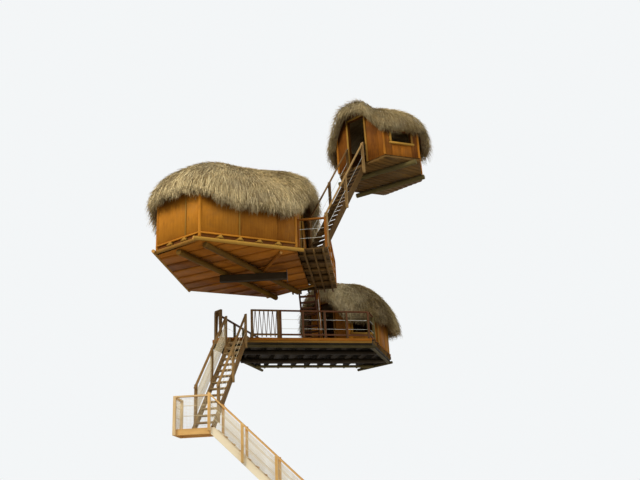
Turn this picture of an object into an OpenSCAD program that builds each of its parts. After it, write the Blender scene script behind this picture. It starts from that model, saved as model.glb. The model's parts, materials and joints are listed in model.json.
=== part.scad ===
// Tree house: three thatched cabins on timber platforms, linked by open stairs,
// with a terrace and a stair landing. The tree is not part of it.
// Millimetres, Z up. The origin is the middle of the flat face of the steel
// trunk plate; that face looks along +X.

/* [Levels above the ground] */
// Top of the stair landing
landing_level = 3850; // [3500:10:4200]
// Top of the terrace deck
terrace_level = 7190; // [6800:10:7500]
// Floor of the large cabin
large_level = 9050; // [8800:10:9500]
// Floor of the upper cabin
upper_level = 13050; // [12600:10:13500]

/* [Large cabin] */
// Turn of the large cabin in plan, degrees
large_yaw = 26; // [20:1:32]
// Middle to front wall and to back wall
large_front_half = 2360; // [2200:10:2600]
// Middle to door wall and to left wall
large_side_half = 2060; // [1900:10:2300]
// Middle to the two narrow end walls
large_end_half = 2910; // [2700:10:3100]
// Depth of the floor with its joists
large_floor_t = 150; // [120:5:200]
// Height of the eaves above the floor
large_eave_h = 970; // [900:10:1050]
// Height of the thatch above the eave
large_roof_rise = 2560; // [2200:10:2900]

/* [Terrace cabin] */
// Turn of the terrace and its cabin in plan, degrees
terrace_yaw = 15; // [11:1:19]
// Depth of the terrace frame
terrace_frame_d = 190; // [150:5:240]
// Height of the eaves above the floor
small_eave_h = 880; // [820:10:980]
// Height of the thatch above the eave
small_roof_rise = 2060; // [1800:10:2300]
// Reach of the eaves past the walls
small_eave_out = 560; // [480:10:620]

/* [Upper cabin] */
// Turn of the upper cabin in plan, degrees
upper_yaw = 20; // [15:1:25]
// Height of the eaves above the floor
upper_eave_h = 930; // [850:10:1000]
// Height of the thatch above the eave
upper_roof_rise = 1750; // [1500:10:2000]

/* [Walls and doors] */
// Thickness of the cabin walls
wall_t = 100; // [70:5:130]
// Width of the doorways
door_w = 740; // [650:10:820]
// Height of the doorways
door_h = 1900; // [1800:10:1950]
// Width of the windows
window_w = 760; // [500:10:900]
// Height of the windows
window_h = 480; // [350:10:560]
// Height of the window sills above the floor
sill_h = 520; // [450:10:600]

/* [Thatch] */
// Thickness of the thatch
thatch_t = 280; // [220:10:340]
// Reach of the eaves of the large and the upper cabin past the walls
eave_out = 400; // [330:10:480]
// Lift of the thatch over a doorway
brow_lift = 1050; // [950:10:1150]

/* [Stairs and railings] */
// Height of the handrails above deck or tread
rail_h = 1000; // [900:10:1100]
// Height of the handrails of the landing and the first flight
low_rail_h = 900; // [800:10:1000]
// Width of the first flight
first_w = 750; // [650:10:850]
// Width of the other flights
flight_w = 620; // [560:10:700]
// Thickness of the stair strings
string_t = 50; // [40:1:70]
// Depth of the stair strings, square to their slope
string_d = 190; // [160:5:220]
// Thickness of treads and deck boards
board_t = 40; // [30:1:50]
// Side of the square railing posts
post_w = 80; // [60:2:100]
// Depth of the handrail
handrail_t = 50; // [40:2:60]
// Diameter of the railing cables
cable_d = 12; // [8:1:16]

/* [Poles] */
// Diameter of the rim poles
rim_pole_d = 110; // [90:2:130]
// Diameter of the main poles
main_pole_d = 176; // [150:2:200]
// Clearance between round faces
seat_gap = 0.3; // [0.2:0.1:0.5]

/* [Hidden] */
$fn = 48;

ochre = "#c8863a";
orange = "#b5651d";
dark = "#4a3520";
pale = "#d9b27c";
straw = "#a08c62";
steel = "#6f6f6c";

// Trunk plate, and the beam between it and the main poles
plate_w = 340;
plate_t = 12;
bolt_d = 22;
bolt_space = 270;
beam_w = 180;
beam_tall = 220;
beam_long = 2150;
plate_level = large_level - large_floor_t - main_pole_d - 2 * seat_gap - beam_tall / 2;

// Heights measured from the trunk plate
landing_z = landing_level - plate_level;
terrace_z = terrace_level - plate_level;
large_z = large_level - plate_level;
upper_z = upper_level - plate_level;
ground_z = -plate_level;

// Plan positions, measured from the trunk plate
large_c = [-1580, 310];
large_h = [large_front_half, large_side_half, large_end_half,
           large_front_half, large_side_half, large_end_half];
terrace_c = [800, 4900];
terrace_h = [2030, 2300, 3240, 2300, 2750, 4350];
small_c = [2250, 6150];
upper_h = [1650, 1500, 1300, 1300, 1450, 1300];

function dir(a) = [cos(a), sin(a)];

// Further reach of the large cabin's eave where it is lifted over the porch
porch_brow_out = 200;

// The flight up to the upper cabin goes past this eave with a gap: where its left
// side has the rail at the eave's height, it is so far out from the middle of the
// eave, and so far along it
eave_gap = [68.237404, -190.522804];
porch_facing = large_yaw - 30;
fourth_yaw = upper_yaw + 30;
fourth_run = 2670;
fourth_rise = upper_level - large_level;
fourth_foot = large_c
    + dir(porch_facing) * (large_side_half + eave_out + porch_brow_out + eave_gap[0])
    + dir(porch_facing + 90) * eave_gap[1]
    - dir(fourth_yaw) * (large_eave_h + brow_lift - rail_h) * fourth_run / fourth_rise
    - dir(fourth_yaw + 90) * flight_w / 2;
upper_c = fourth_foot + dir(fourth_yaw) * (fourth_run + upper_h[5]);

// Corner between side i - 1 and side i of a hexagon whose sides all turn by
// 60 degrees, from the distance of each side to the middle
function corner(c, yaw, h, i) =
    let (before = h[(i + 5) % 6], after = h[i % 6])
    c + dir(yaw - 150 + 60 * i) * (4 * before - 2 * after) / 3
      + dir(yaw - 90 + 60 * i) * (4 * after - 2 * before) / 3;

// A ledge of deck is left along the three sides where the cabin meets the edge
ledge = 30;
function kept(i) =
    terrace_h[i] - ledge - (small_c - terrace_c) * dir(terrace_yaw - 90 + 60 * i);
small_h = [1600, kept(1), kept(2), kept(3), 1450, 1450];

function grown(h, out) = [for (v = h) v + out];

// More than any width of the hexagon
function across(h) = 2 * max(h);

function hexagon(c, yaw, h, out = 0) =
    [for (i = [0:5]) corner(c, yaw, grown(h, out), i)];

function side_len(c, yaw, h, i) = norm(corner(c, yaw, h, i + 1) - corner(c, yaw, h, i));

module slab(points, z, t) {
    translate([0, 0, z]) linear_extrude(t) polygon(points);
}

// Local frame of a side: X along it, Y inwards, Z up from z
module on_side(c, yaw, h, i, z) {
    p = corner(c, yaw, h, i);
    translate([p[0], p[1], z]) rotate(yaw + 60 * i) children();
}

// Thatched dome over a hexagon. A roof is its rise, the height and the reach of
// its eaves, and its brows; a brow is its side, half width in degrees, lift and
// further reach.
round_power = 10;
roof_sides = 36;
roof_rings = 6;

brow_out = 60;
upper_brow_out = 100;
side_brow_lift = 450;

large_roof_form = [large_roof_rise, large_eave_h, eave_out,
                   [[1, 32, brow_lift, porch_brow_out], [5, 30, side_brow_lift, brow_out]]];
small_roof_form = [small_roof_rise, small_eave_h, small_eave_out, [[5, 28, brow_lift, brow_out]]];
upper_roof_form = [upper_roof_rise, upper_eave_h, eave_out, [[5, 29, brow_lift, upper_brow_out]]];

function sum(v) = v * [for (x = v) 1];

function eave_r(h, yaw, out, a) =
    pow(sum([for (i = [0:5]) pow(max(cos(a - yaw + 90 - 60 * i), 0) / (h[i] + out), round_power)]),
        -1 / round_power);

function dome(s) = 0.75 * sqrt(max(1 - s * s, 0)) + 0.25 * (1 - s);

function angle_gap(a, b) = abs(((a - b) % 360 + 540) % 360 - 180);

function brow(b, yaw, a) = exp(-pow(angle_gap(a, yaw - 90 + 60 * b[0]) / b[1], 4));

function thatch_r(yaw, h, roof, a, inner) =
    eave_r(h, yaw, roof[2], a) + sum([for (b = roof[3]) b[3] * brow(b, yaw, a)]) - inner;

function thatch_z(yaw, roof, a, s, inner) =
    roof[1] + sum([for (b = roof[3]) b[2] * brow(b, yaw, a)]) * s * s + (roof[0] - inner) * dome(s);

function roof_point(c, yaw, h, roof, k, s, inner) =
    let (a = 360 * k / roof_sides, r = thatch_r(yaw, h, roof, a, inner) * s)
    [c[0] + r * cos(a), c[1] + r * sin(a), thatch_z(yaw, roof, a, s, inner)];

function ring_s(j) = 1 - pow(j / roof_rings, 1.5);

module thatch(c, yaw, h, z, roof) {
    n = roof_sides;
    m = roof_rings;
    outer = [for (j = [0:m - 1], k = [0:n - 1]) roof_point(c, yaw, h, roof, k, ring_s(j), 0)];
    inner = [for (j = [0:m - 1], k = [0:n - 1]) roof_point(c, yaw, h, roof, k, ring_s(j), thatch_t)];
    tips = [for (t = [0, thatch_t]) [c[0], c[1], roof[1] + roof[0] - t]];
    points = concat(outer, inner, tips);
    in0 = m * n;
    faces = concat(
        [for (j = [0:m - 2], k = [0:n - 1])
            [j * n + k, (j + 1) * n + k, (j + 1) * n + (k + 1) % n, j * n + (k + 1) % n]],
        [for (k = [0:n - 1]) [(m - 1) * n + k, 2 * m * n, (m - 1) * n + (k + 1) % n]],
        [for (j = [0:m - 2], k = [0:n - 1])
            [in0 + j * n + k, in0 + j * n + (k + 1) % n,
             in0 + (j + 1) * n + (k + 1) % n, in0 + (j + 1) * n + k]],
        [for (k = [0:n - 1])
            [in0 + (m - 1) * n + k, in0 + (m - 1) * n + (k + 1) % n, 2 * m * n + 1]],
        [for (k = [0:n - 1]) [k, (k + 1) % n, in0 + (k + 1) % n, in0 + k]]);
    translate([0, 0, z]) polyhedron(points, faces, convexity = 6);
}

// Height of a wall at x along side i: a seat deeper than the thatch's underside
wall_seat = 90;
wall_parts = 6;

function wall_top(c, yaw, h, i, roof, x) =
    let (v = corner(c, yaw, h, i) + dir(yaw + 60 * i) * x - c,
         a = atan2(v[1], v[0]),
         s = min(norm(v) / thatch_r(yaw, h, roof, a, thatch_t), 1))
    thatch_z(yaw, roof, a, s, thatch_t) + wall_seat;

// One wall of a cabin up into the thatch, mitred at both corners: a slab cut to
// an elevation that runs past it below and at both ends
module wall(c, yaw, h, i, z, roof, doorway = []) {
    len = side_len(c, yaw, h, i);
    intersection() {
        on_side(c, yaw, h, i, z) translate([0, 2 * wall_t, 0]) rotate([90, 0, 0])
            linear_extrude(3 * wall_t)
                polygon(concat([[-wall_t, -wall_t]], doorway, [[len + wall_t, -wall_t]],
                               [for (k = [wall_parts:-1:0])
                                   let (x = len * k / wall_parts, past = wall_t * sign(2 * k - wall_parts))
                                   [k % wall_parts == 0 ? x + past : x,
                                    wall_top(c, yaw, h, i, roof, x)]]));
        slab([corner(c, yaw, h, i), corner(c, yaw, h, i + 1),
              corner(c, yaw, grown(h, -wall_t), i + 1), corner(c, yaw, grown(h, -wall_t), i)],
             z, roof[0] + roof[1]);
    }
}

// A wall with a window in its middle
module window_wall(c, yaw, h, i, z, roof) {
    difference() {
        wall(c, yaw, h, i, z, roof);
        on_side(c, yaw, h, i, z)
            translate([(side_len(c, yaw, h, i) - window_w) / 2, -wall_t, sill_h])
                cube([window_w, 3 * wall_t, window_h]);
    }
}

// Where the line from the middle of the cabin meets side i, along the side
function door_at(c, yaw, h, i) =
    (c - corner(c, yaw, h, i)) * dir(yaw + 60 * i);

module door_wall(c, yaw, h, i, z, roof) {
    a = door_at(c, yaw, h, i) - door_w / 2;
    b = a + door_w;
    wall(c, yaw, h, i, z, roof, [[a, -wall_t], [a, door_h], [b, door_h], [b, -wall_t]]);
}

// The thatch, seated on all six walls
module cabin_roof(c, yaw, h, z, roof) {
    color(straw) difference() {
        thatch(c, yaw, h, z, roof);
        for (i = [0:5])
            wall(c, yaw, h, i, z, roof);
    }
}

// A round pole from a to b
module pole(a, b, d) {
    v = b - a;
    len = norm(v);
    translate(a) rotate([0, acos(v[2] / len), atan2(v[1], v[0])]) cylinder(h = len, d = d);
}

// Stairs. The foot is at the local origin, the flight climbs along +X.
function rise_per(run, rise) = rise / run;
function plumb(run, rise) = string_d * norm([run, rise]) / run;

// Depth of the level tail of a string that runs on past its top
string_tail = 110;

// The outline can run on level past the top by ext, to be cut to a slanting edge
module string_outline(run, rise, ext) {
    m = rise_per(run, rise);
    v = plumb(run, rise);
    up = 0.35 * v;
    low = 0.65 * v;
    polygon(concat([[-up / m, 0], [low / m, 0]],
                   ext > 0 ? [[run + (low - string_tail) / m, rise - string_tail],
                              [run + ext, rise - string_tail]] : [[run, rise - low]],
                   [[run + ext, rise], [run - up / m, rise]]));
}

module strings(run, rise, w, ext = 0) {
    for (s = [-1, 1])
        translate([0, s * (w / 2 - string_t / 2) + string_t / 2, 0])
            rotate([90, 0, 0]) linear_extrude(string_t) string_outline(run, rise, ext);
}

module treads(run, rise, w, n) {
    step = run / (n + 1);
    for (k = [1:n])
        translate([k * step - step * 0.6, -w / 2 + string_t, k * rise / (n + 1) - board_t])
            cube([step * 1.15, w - 2 * string_t, board_t]);
}

// A railing along one side of a flight: posts at the listed parts of the run
module flight_rail(run, rise, y, parts, bars, tall = rail_h) {
    m = rise_per(run, rise);
    v = plumb(run, rise);
    for (p = parts)
        let (foot = max(p * rise - 0.5 * v, 0))
            translate([p * run - post_w / 2, y - post_w / 2, foot])
                cube([post_w, post_w, p * rise + tall - foot]);
    translate([0, y + post_w / 2, 0]) rotate([90, 0, 0]) linear_extrude(post_w)
        polygon([[parts[0] * run - post_w, m * (parts[0] * run - post_w) + tall - handrail_t],
                 [parts[len(parts) - 1] * run + post_w / 2,
                  m * (parts[len(parts) - 1] * run + post_w / 2) + tall - handrail_t],
                 [parts[len(parts) - 1] * run + post_w / 2,
                  m * (parts[len(parts) - 1] * run + post_w / 2) + tall],
                 [parts[0] * run - post_w, m * (parts[0] * run - post_w) + tall]]);
    for (b = bars)
        pole([parts[0] * run, y, m * parts[0] * run + b * tall],
             [parts[len(parts) - 1] * run, y, m * parts[len(parts) - 1] * run + b * tall], cable_d);
}

// A foot rail under the bars
foot_rail_t = 40;
foot_rail_tall = 60;
foot_rail_up = 90;

// A level railing along local X from 0 to length; its posts can reach down
// past the deck by drop. Bars run between the middles of the end posts, or to
// an end that has no post.
module level_rail(length, parts, bars, low_rail = false, drop = 0, tall = rail_h) {
    start = parts[0] == 0 ? post_w / 2 : 0;
    end = parts[len(parts) - 1] == 1 ? length - post_w / 2 : length;
    for (p = parts)
        translate([p * (length - post_w), -post_w / 2, -drop]) cube([post_w, post_w, tall + drop]);
    translate([0, -post_w / 2, tall - handrail_t]) cube([length, post_w, handrail_t]);
    for (b = bars)
        pole([start, 0, b * tall], [end, 0, b * tall], cable_d);
    if (low_rail)
        translate([0, -foot_rail_t / 2, foot_rail_up]) cube([length, foot_rail_t, foot_rail_tall]);
}

floor_under = large_z - large_floor_t;
main_pole_z = floor_under - main_pole_d / 2 - seat_gap;
beam_top = main_pole_z - main_pole_d / 2 - seat_gap;

module trunk_plate() {
    color(steel) difference() {
        translate([-plate_t, -plate_w / 2, -plate_w / 2]) cube([plate_t, plate_w, plate_w]);
        for (y = [-1, 1], z = [-1, 1])
            translate([-plate_t - 1, y * bolt_space / 2, z * bolt_space / 2])
                rotate([0, 90, 0]) cylinder(h = plate_t + 2, d = bolt_d);
    }
}

module trunk_beam() {
    color(dark) translate([-plate_t - beam_long, -beam_w / 2, beam_top - beam_tall])
        cube([beam_long, beam_w, beam_tall]);
}

// Main poles of the large cabin, from the front rim to the back rim
pole_turn = 39;
pole_offsets = [-110, 870];
past_rim = -60;
brace_d = 90;

module large_main_poles() {
    p = corner(large_c, large_yaw, large_h, 0);
    color(dark) intersection() {
        translate([p[0], p[1], main_pole_z]) rotate(large_yaw + pole_turn)
            for (s = pole_offsets)
                translate([-across(large_h), s, 0]) rotate([0, 90, 0])
                    cylinder(h = 3 * across(large_h), d = main_pole_d);
        slab(hexagon(large_c, large_yaw, large_h, past_rim), main_pole_z - main_pole_d, 2 * main_pole_d);
    }
}

// A slanting brace under the floor, from the front rim to the side of the
// first main pole
brace_inset = [480, 60];
brace_along = 3200;
brace_gap = 12;

module large_brace() {
    z = floor_under - brace_d / 2 - seat_gap;
    a = corner(large_c, large_yaw, large_h, 1) + dir(large_yaw + 180) * brace_inset[0]
        + dir(large_yaw + 90) * brace_inset[1];
    b = corner(large_c, large_yaw, large_h, 0) + dir(large_yaw + pole_turn) * brace_along
        + dir(large_yaw + pole_turn + 90)
          * (pole_offsets[0] - (main_pole_d + brace_d) / 2 - brace_gap);
    color(ochre) pole([a[0], a[1], z], [b[0], b[1], z], brace_d);
}

rim_out = rim_pole_d / 2 + seat_gap;
rim_drop = 25;
rim_notch = 10;
log_end = 170;

// A pole along side i, outside the edge of a floor, past its corners by over
module rim_pole(c, yaw, h, i, z, over, d) {
    a = corner(c, yaw, grown(h, rim_out), i);
    b = corner(c, yaw, grown(h, rim_out), i + 1);
    u = dir(yaw + 60 * i) * over;
    pole([a[0] - u[0], a[1] - u[1], z], [b[0] + u[0], b[1] + u[1], z], d);
}

// Poles past each other at the corners: the through ones run on, the others
// are coped to them
module rim_poles(c, yaw, h, z, through, coped) {
    for (i = through)
        rim_pole(c, yaw, h, i, z, log_end, rim_pole_d);
    difference() {
        for (i = coped)
            rim_pole(c, yaw, h, i, z, 0, rim_pole_d);
        for (i = through)
            rim_pole(c, yaw, h, i, z, log_end, rim_pole_d + 2 * seat_gap);
    }
}

large_rim_z = large_z - rim_pole_d / 2 - rim_drop;

module large_rim_poles() {
    color(pale) rim_poles(large_c, large_yaw, large_h, large_rim_z, [0, 2, 4], [3, 5]);
}

module large_floor() {
    color(orange) slab(hexagon(large_c, large_yaw, large_h), floor_under, large_floor_t);
}

module large_wall_front() {
    color(orange) wall(large_c, large_yaw, large_h, 0, large_z, large_roof_form);
}

module large_wall_door() {
    color(orange) door_wall(large_c, large_yaw, large_h, 1, large_z, large_roof_form);
}

module large_walls_left() {
    color(orange) {
        window_wall(large_c, large_yaw, large_h, 4, large_z, large_roof_form);
        wall(large_c, large_yaw, large_h, 2, large_z, large_roof_form);
    }
}

module large_walls_back() {
    color(orange) {
        window_wall(large_c, large_yaw, large_h, 3, large_z, large_roof_form);
        wall(large_c, large_yaw, large_h, 5, large_z, large_roof_form);
    }
}

module large_roof() {
    cabin_roof(large_c, large_yaw, large_h, large_z, large_roof_form);
}

// Porch along the door wall: X along the wall, outwards is -Y. Its railing is
// open where the fourth flight starts and where the third flight comes up.
porch_w = 950;
porch_start = 150;
porch_end = 4450;
porch_t = 150;
porch_tab = 800;
porch_open = 1520;
porch_bars = [0.35, 0.65];
third_at = 150;
third_open = 10;
run_gap = 5;

module porch_frame() {
    on_side(large_c, large_yaw, large_h, 1, large_z) children();
}

module porch_deck() {
    color(orange) difference() {
        porch_frame() translate([porch_start, -porch_w, -porch_t])
            cube([porch_end - porch_start, porch_w + porch_tab, porch_t]);
        slab(hexagon(large_c, large_yaw, large_h), floor_under - large_floor_t, 3 * large_floor_t);
        on_side(large_c, large_yaw, large_h, 2, floor_under - large_floor_t)
            translate([-log_end - rim_out - rim_notch, -rim_pole_d - rim_notch, 0])
                cube([porch_end, rim_pole_d + 2 * rim_notch, 3 * large_floor_t]);
    }
}

module porch_railing() {
    color(orange) porch_frame() {
        translate([porch_start + porch_open, -porch_w + post_w / 2, 0])
            level_rail(porch_end - porch_start - porch_open, [0, 0.5, 1], porch_bars);
        translate([porch_end - post_w / 2, -porch_w + post_w + run_gap, 0]) rotate(90)
            level_rail(porch_w + third_at - flight_w / 2 - 2 * post_w - third_open - run_gap, [1],
                       porch_bars);
        translate([porch_start + post_w / 2, -porch_w, 0]) rotate(90)
            level_rail(porch_w - post_w / 4, [0, 1], porch_bars);
    }
}

// Landing and first flight: one line in plan
landing_p = [-3230, -1450];
landing_yaw = -2;
landing_long = 1050;
landing_deep = 830;
landing_rim = 130;
landing_bars = [0.37, 0.68];

module landing_frame() {
    translate([landing_p[0], landing_p[1], landing_z]) rotate(landing_yaw) children();
}

module landing_deck() {
    color(ochre) landing_frame() {
        translate([0, 0, -board_t]) cube([landing_long, landing_deep, board_t]);
        translate([0, 0, -board_t - landing_rim]) difference() {
            cube([landing_long, landing_deep, landing_rim]);
            translate([string_t, string_t, -1])
                cube([landing_long - 2 * string_t, landing_deep - 2 * string_t, landing_rim + 1]);
        }
    }
}

module landing_railing() {
    color(ochre) landing_frame() {
        translate([0, -post_w / 2, 0])
            level_rail(landing_long - post_w, [0], landing_bars, drop = board_t + landing_rim,
                       tall = low_rail_h);
        translate([post_w / 2, run_gap, 0]) rotate(90)
            level_rail(landing_deep - run_gap, [1], landing_bars, tall = low_rail_h);
    }
}

first_run = 4000;
first_rise = landing_level;
first_steps = 17;
// The top post of the near rail carries the landing's rail too
first_near_posts = [0.09, 0.32, 0.55, 0.78, 1 + post_w / (2 * first_run)];
first_far_posts = [0.09, 0.32, 0.55, 0.78, 0.95];
flight_bars = [0.36, 0.68];

// Frame of the first flight, foot on the ground, climbing to the landing
module first_frame() {
    landing_frame() translate([landing_long + first_run, first_w / 2, ground_z - landing_z])
        rotate(180) children();
}

module first_strings() {
    color(pale) first_frame() strings(first_run, first_rise, first_w);
}

module first_treads() {
    color(ochre) first_frame() treads(first_run, first_rise, first_w, first_steps);
}

module first_rail_near() {
    color(ochre) first_frame()
        flight_rail(first_run, first_rise, first_w / 2 + post_w / 2, first_near_posts, flight_bars,
                    low_rail_h);
}

module first_rail_far() {
    color(ochre) first_frame()
        flight_rail(first_run, first_rise, -first_w / 2 - post_w / 2, first_far_posts, flight_bars,
                    low_rail_h);
}

// Second flight: from the landing up to the terrace
second_foot = [-2480, -1050];
second_yaw = 78;
second_run = 3150;
second_rise = terrace_level - landing_level;
second_steps = 14;
second_ext = 250;

module second_frame() {
    translate([second_foot[0], second_foot[1], landing_z]) rotate(second_yaw) children();
}

module second_strings() {
    color(ochre) difference() {
        second_frame() strings(second_run, second_rise, flight_w, second_ext);
        on_side(terrace_c, terrace_yaw, terrace_h, 0, terrace_under - flight_w)
            translate([-flight_w, 0, 0]) cube([3 * flight_w, flight_w, 3 * flight_w]);
    }
}

module second_treads() {
    color(ochre) second_frame() treads(second_run, second_rise, flight_w, second_steps);
}

module second_rail_left() {
    color(orange) second_frame()
        flight_rail(second_run, second_rise, flight_w / 2 + post_w / 2, [0.1, 0.5, 0.9], [0.4, 0.7]);
}

module second_rail_right() {
    color(orange) second_frame()
        flight_rail(second_run, second_rise, -flight_w / 2 - post_w / 2, [0.1, 0.5, 0.9], [0.4, 0.7]);
}

// Terrace
fascia_t = 45;
joist_t = 60;
joist_step = 550;
terrace_pole_at = [-1150, 350];
pole_inset = 130;
terrace_under = terrace_z - board_t - terrace_frame_d;

// The frame has a fascia on five sides; the joists run out to the back edge
joist_h = [for (i = [0:5]) terrace_h[i] - (i == 3 ? 0 : fascia_t)];
open_h = [for (i = [0:5]) terrace_h[i] + (i == 3 ? fascia_t : -fascia_t)];

module terrace_frame() {
    color(orange) {
        difference() {
            slab(hexagon(terrace_c, terrace_yaw, terrace_h), terrace_under, terrace_frame_d);
            slab(hexagon(terrace_c, terrace_yaw, open_h), terrace_under - 1, terrace_frame_d + 2);
        }
        intersection() {
            slab(hexagon(terrace_c, terrace_yaw, joist_h), terrace_under, terrace_frame_d);
            translate([terrace_c[0], terrace_c[1], terrace_under]) rotate(terrace_yaw)
                for (x = [-6 * joist_step:joist_step:6 * joist_step])
                    translate([x - joist_t / 2, -across(terrace_h), 0])
                        cube([joist_t, 2 * across(terrace_h), terrace_frame_d]);
        }
    }
}

module terrace_deck() {
    color(orange) slab(hexagon(terrace_c, terrace_yaw, terrace_h), terrace_z - board_t, board_t);
}

module terrace_poles() {
    z = terrace_under - main_pole_d / 2 - seat_gap;
    color(dark) intersection() {
        for (y = terrace_pole_at)
            translate([terrace_c[0], terrace_c[1], z]) rotate(terrace_yaw)
                translate([-across(terrace_h), y, 0]) rotate([0, 90, 0])
                    cylinder(h = 2 * across(terrace_h), d = main_pole_d);
        slab(hexagon(terrace_c, terrace_yaw, terrace_h, -pole_inset), z - main_pole_d, 2 * main_pole_d);
    }
}

// The rim poles lie under the edge of the frame, and a pole as thick crosses
// the joists' ends at the back
rim_inset = 56;
back_pole_at = 1600;
terrace_rim_z = terrace_under - rim_pole_d / 2 - seat_gap;

module terrace_rim_poles() {
    color(pale) rim_poles(terrace_c, terrace_yaw, grown(terrace_h, -rim_out - rim_inset), terrace_rim_z,
                          [0, 2, 4], [1, 5]);
    color(dark) intersection() {
        translate([terrace_c[0], terrace_c[1], terrace_rim_z]) rotate(terrace_yaw)
            translate([-across(terrace_h), back_pole_at, 0]) rotate([0, 90, 0])
                cylinder(h = 2 * across(terrace_h), d = rim_pole_d);
        slab(hexagon(terrace_c, terrace_yaw, terrace_h, -pole_inset), terrace_rim_z - rim_pole_d,
             2 * rim_pole_d);
    }
}

// Where the second flight comes in, along the front edge
second_top = second_foot + dir(second_yaw) * second_run;
second_gap = (second_top - corner(terrace_c, terrace_yaw, terrace_h, 0)) * dir(terrace_yaw);
stick_start = second_gap + flight_w / 2 + 1.5 * post_w;
stick_long = 1000;
front_len = side_len(terrace_c, terrace_yaw, terrace_h, 0);

// The right end of the railing stops clear of the cabin's eave
eave_clear = 60;
eave_in = (small_c - corner(terrace_c, terrace_yaw, terrace_h, 1)) * dir(terrace_yaw + 90)
          - small_h[0] - small_eave_out;
end_rail = eave_in / cos(30) - post_w - eave_clear;
terrace_bars = [0.33, 0.66];

module terrace_railing() {
    color(orange) {
        on_side(terrace_c, terrace_yaw, terrace_h, 0, terrace_z)
            translate([stick_start + stick_long, post_w / 2, 0])
                level_rail(front_len - stick_start - stick_long - post_w / 2, [0, 0.25, 0.5, 0.75, 1],
                           terrace_bars, true);
        on_side(terrace_c, terrace_yaw, terrace_h, 1, terrace_z)
            translate([post_w, post_w / 2, 0]) level_rail(end_rail, [1], terrace_bars, true);
    }
}

// The back railing starts where the cabin's eave ends
back_rail_start = 2600;

module terrace_back_railing() {
    left_len = side_len(terrace_c, terrace_yaw, terrace_h, 4);
    color(orange) {
        on_side(terrace_c, terrace_yaw, terrace_h, 4, terrace_z)
            translate([post_w, post_w / 2, 0])
                level_rail(left_len - 2 * post_w, [0, 0.2, 0.4, 0.6, 0.8, 1], terrace_bars, true);
        on_side(terrace_c, terrace_yaw, terrace_h, 3, terrace_z)
            translate([back_rail_start, post_w / 2, 0])
                level_rail(side_len(terrace_c, terrace_yaw, terrace_h, 3) - back_rail_start - post_w,
                           [0, 0.5, 1], terrace_bars, true);
    }
}

// A panel of sticks that lean to and fro between a low and a top rail
stick_d = 24;
stick_step = 75;
stick_lean = 4;

module stick_panel(length) {
    level_rail(length, [0, 1], [], true);
    n = floor((length - 2 * post_w) / stick_step);
    for (k = [0:n - 1])
        translate([post_w + (length - 2 * post_w) * (k + 0.5) / n, 0, rail_h / 2])
            rotate([0, stick_lean * (k % 2 == 0 ? 1 : -1), 0])
                cylinder(h = rail_h - 60, d = stick_d, center = true, $fn = 8);
}

module stick_balustrade() {
    color(orange) {
        on_side(terrace_c, terrace_yaw, terrace_h, 0, terrace_z)
            translate([stick_start, post_w / 2, 0]) stick_panel(stick_long);
        on_side(terrace_c, terrace_yaw, terrace_h, 5, terrace_z)
            translate([post_w, post_w / 2, 0])
                stick_panel(side_len(terrace_c, terrace_yaw, terrace_h, 5) - 2 * post_w);
    }
}

small_z = terrace_z;

module small_wall_front() {
    color(orange) window_wall(small_c, terrace_yaw, small_h, 0, small_z, small_roof_form);
}

module small_wall_door() {
    color(orange) door_wall(small_c, terrace_yaw, small_h, 5, small_z, small_roof_form);
}

module small_walls_right() {
    color(orange) {
        wall(small_c, terrace_yaw, small_h, 1, small_z, small_roof_form);
        wall(small_c, terrace_yaw, small_h, 3, small_z, small_roof_form);
    }
}

module small_walls_left() {
    color(orange) {
        window_wall(small_c, terrace_yaw, small_h, 2, small_z, small_roof_form);
        wall(small_c, terrace_yaw, small_h, 4, small_z, small_roof_form);
    }
}

module small_roof() {
    cabin_roof(small_c, terrace_yaw, small_h, small_z, small_roof_form);
}

// Third flight: from the terrace up to the porch of the large cabin
third_run = 1450;
third_rise = large_level - terrace_level;
third_steps = 9;

module third_frame() {
    porch_frame() translate([porch_end + third_run, third_at, terrace_z - large_z])
        rotate(180) children();
}

module third_strings() {
    color(ochre) third_frame() strings(third_run, third_rise, flight_w);
}

module third_treads() {
    color(ochre) third_frame() treads(third_run, third_rise, flight_w, third_steps);
}

module third_rail() {
    color(ochre) third_frame()
        flight_rail(third_run, third_rise, flight_w / 2 + post_w / 2, [0.1, 0.9], [0.4, 0.7]);
}

// Fourth flight: from the porch up to the upper cabin
fourth_steps = 18;
fourth_top = upper_c + dir(fourth_yaw + 180) * upper_h[5];

module fourth_frame() {
    translate([fourth_top[0], fourth_top[1], large_z]) rotate(fourth_yaw)
        translate([-fourth_run, 0, 0]) children();
}

module fourth_strings() {
    color(ochre) fourth_frame() strings(fourth_run, fourth_rise, flight_w);
}

module fourth_treads() {
    color(ochre) fourth_frame() treads(fourth_run, fourth_rise, flight_w, fourth_steps);
}

module fourth_rail_left() {
    color(pale) fourth_frame()
        flight_rail(fourth_run, fourth_rise, flight_w / 2 + post_w / 2, [0.08, 0.5, 0.92], [0.5]);
}

module fourth_rail_right() {
    color(pale) fourth_frame()
        flight_rail(fourth_run, fourth_rise, -flight_w / 2 - post_w / 2, [0.08, 0.5, 0.92], [0.5]);
}

// Upper cabin
upper_floor_t = 120;
upper_pole_at = [-700, 600];
upper_pole_turn = 50;
upper_past = 60;

module upper_beams() {
    z = upper_z - upper_floor_t - main_pole_d / 2 - seat_gap;
    color(dark) intersection() {
        for (y = upper_pole_at)
            translate([upper_c[0], upper_c[1], z]) rotate(upper_yaw - upper_pole_turn)
                translate([-across(upper_h), y, 0]) rotate([0, 90, 0])
                    cylinder(h = 2 * across(upper_h), d = main_pole_d);
        slab(hexagon(upper_c, upper_yaw, upper_h, upper_past), z - main_pole_d, 2 * main_pole_d);
    }
}

module upper_floor() {
    color(orange) slab(hexagon(upper_c, upper_yaw, upper_h), upper_z - upper_floor_t, upper_floor_t);
}

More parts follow.
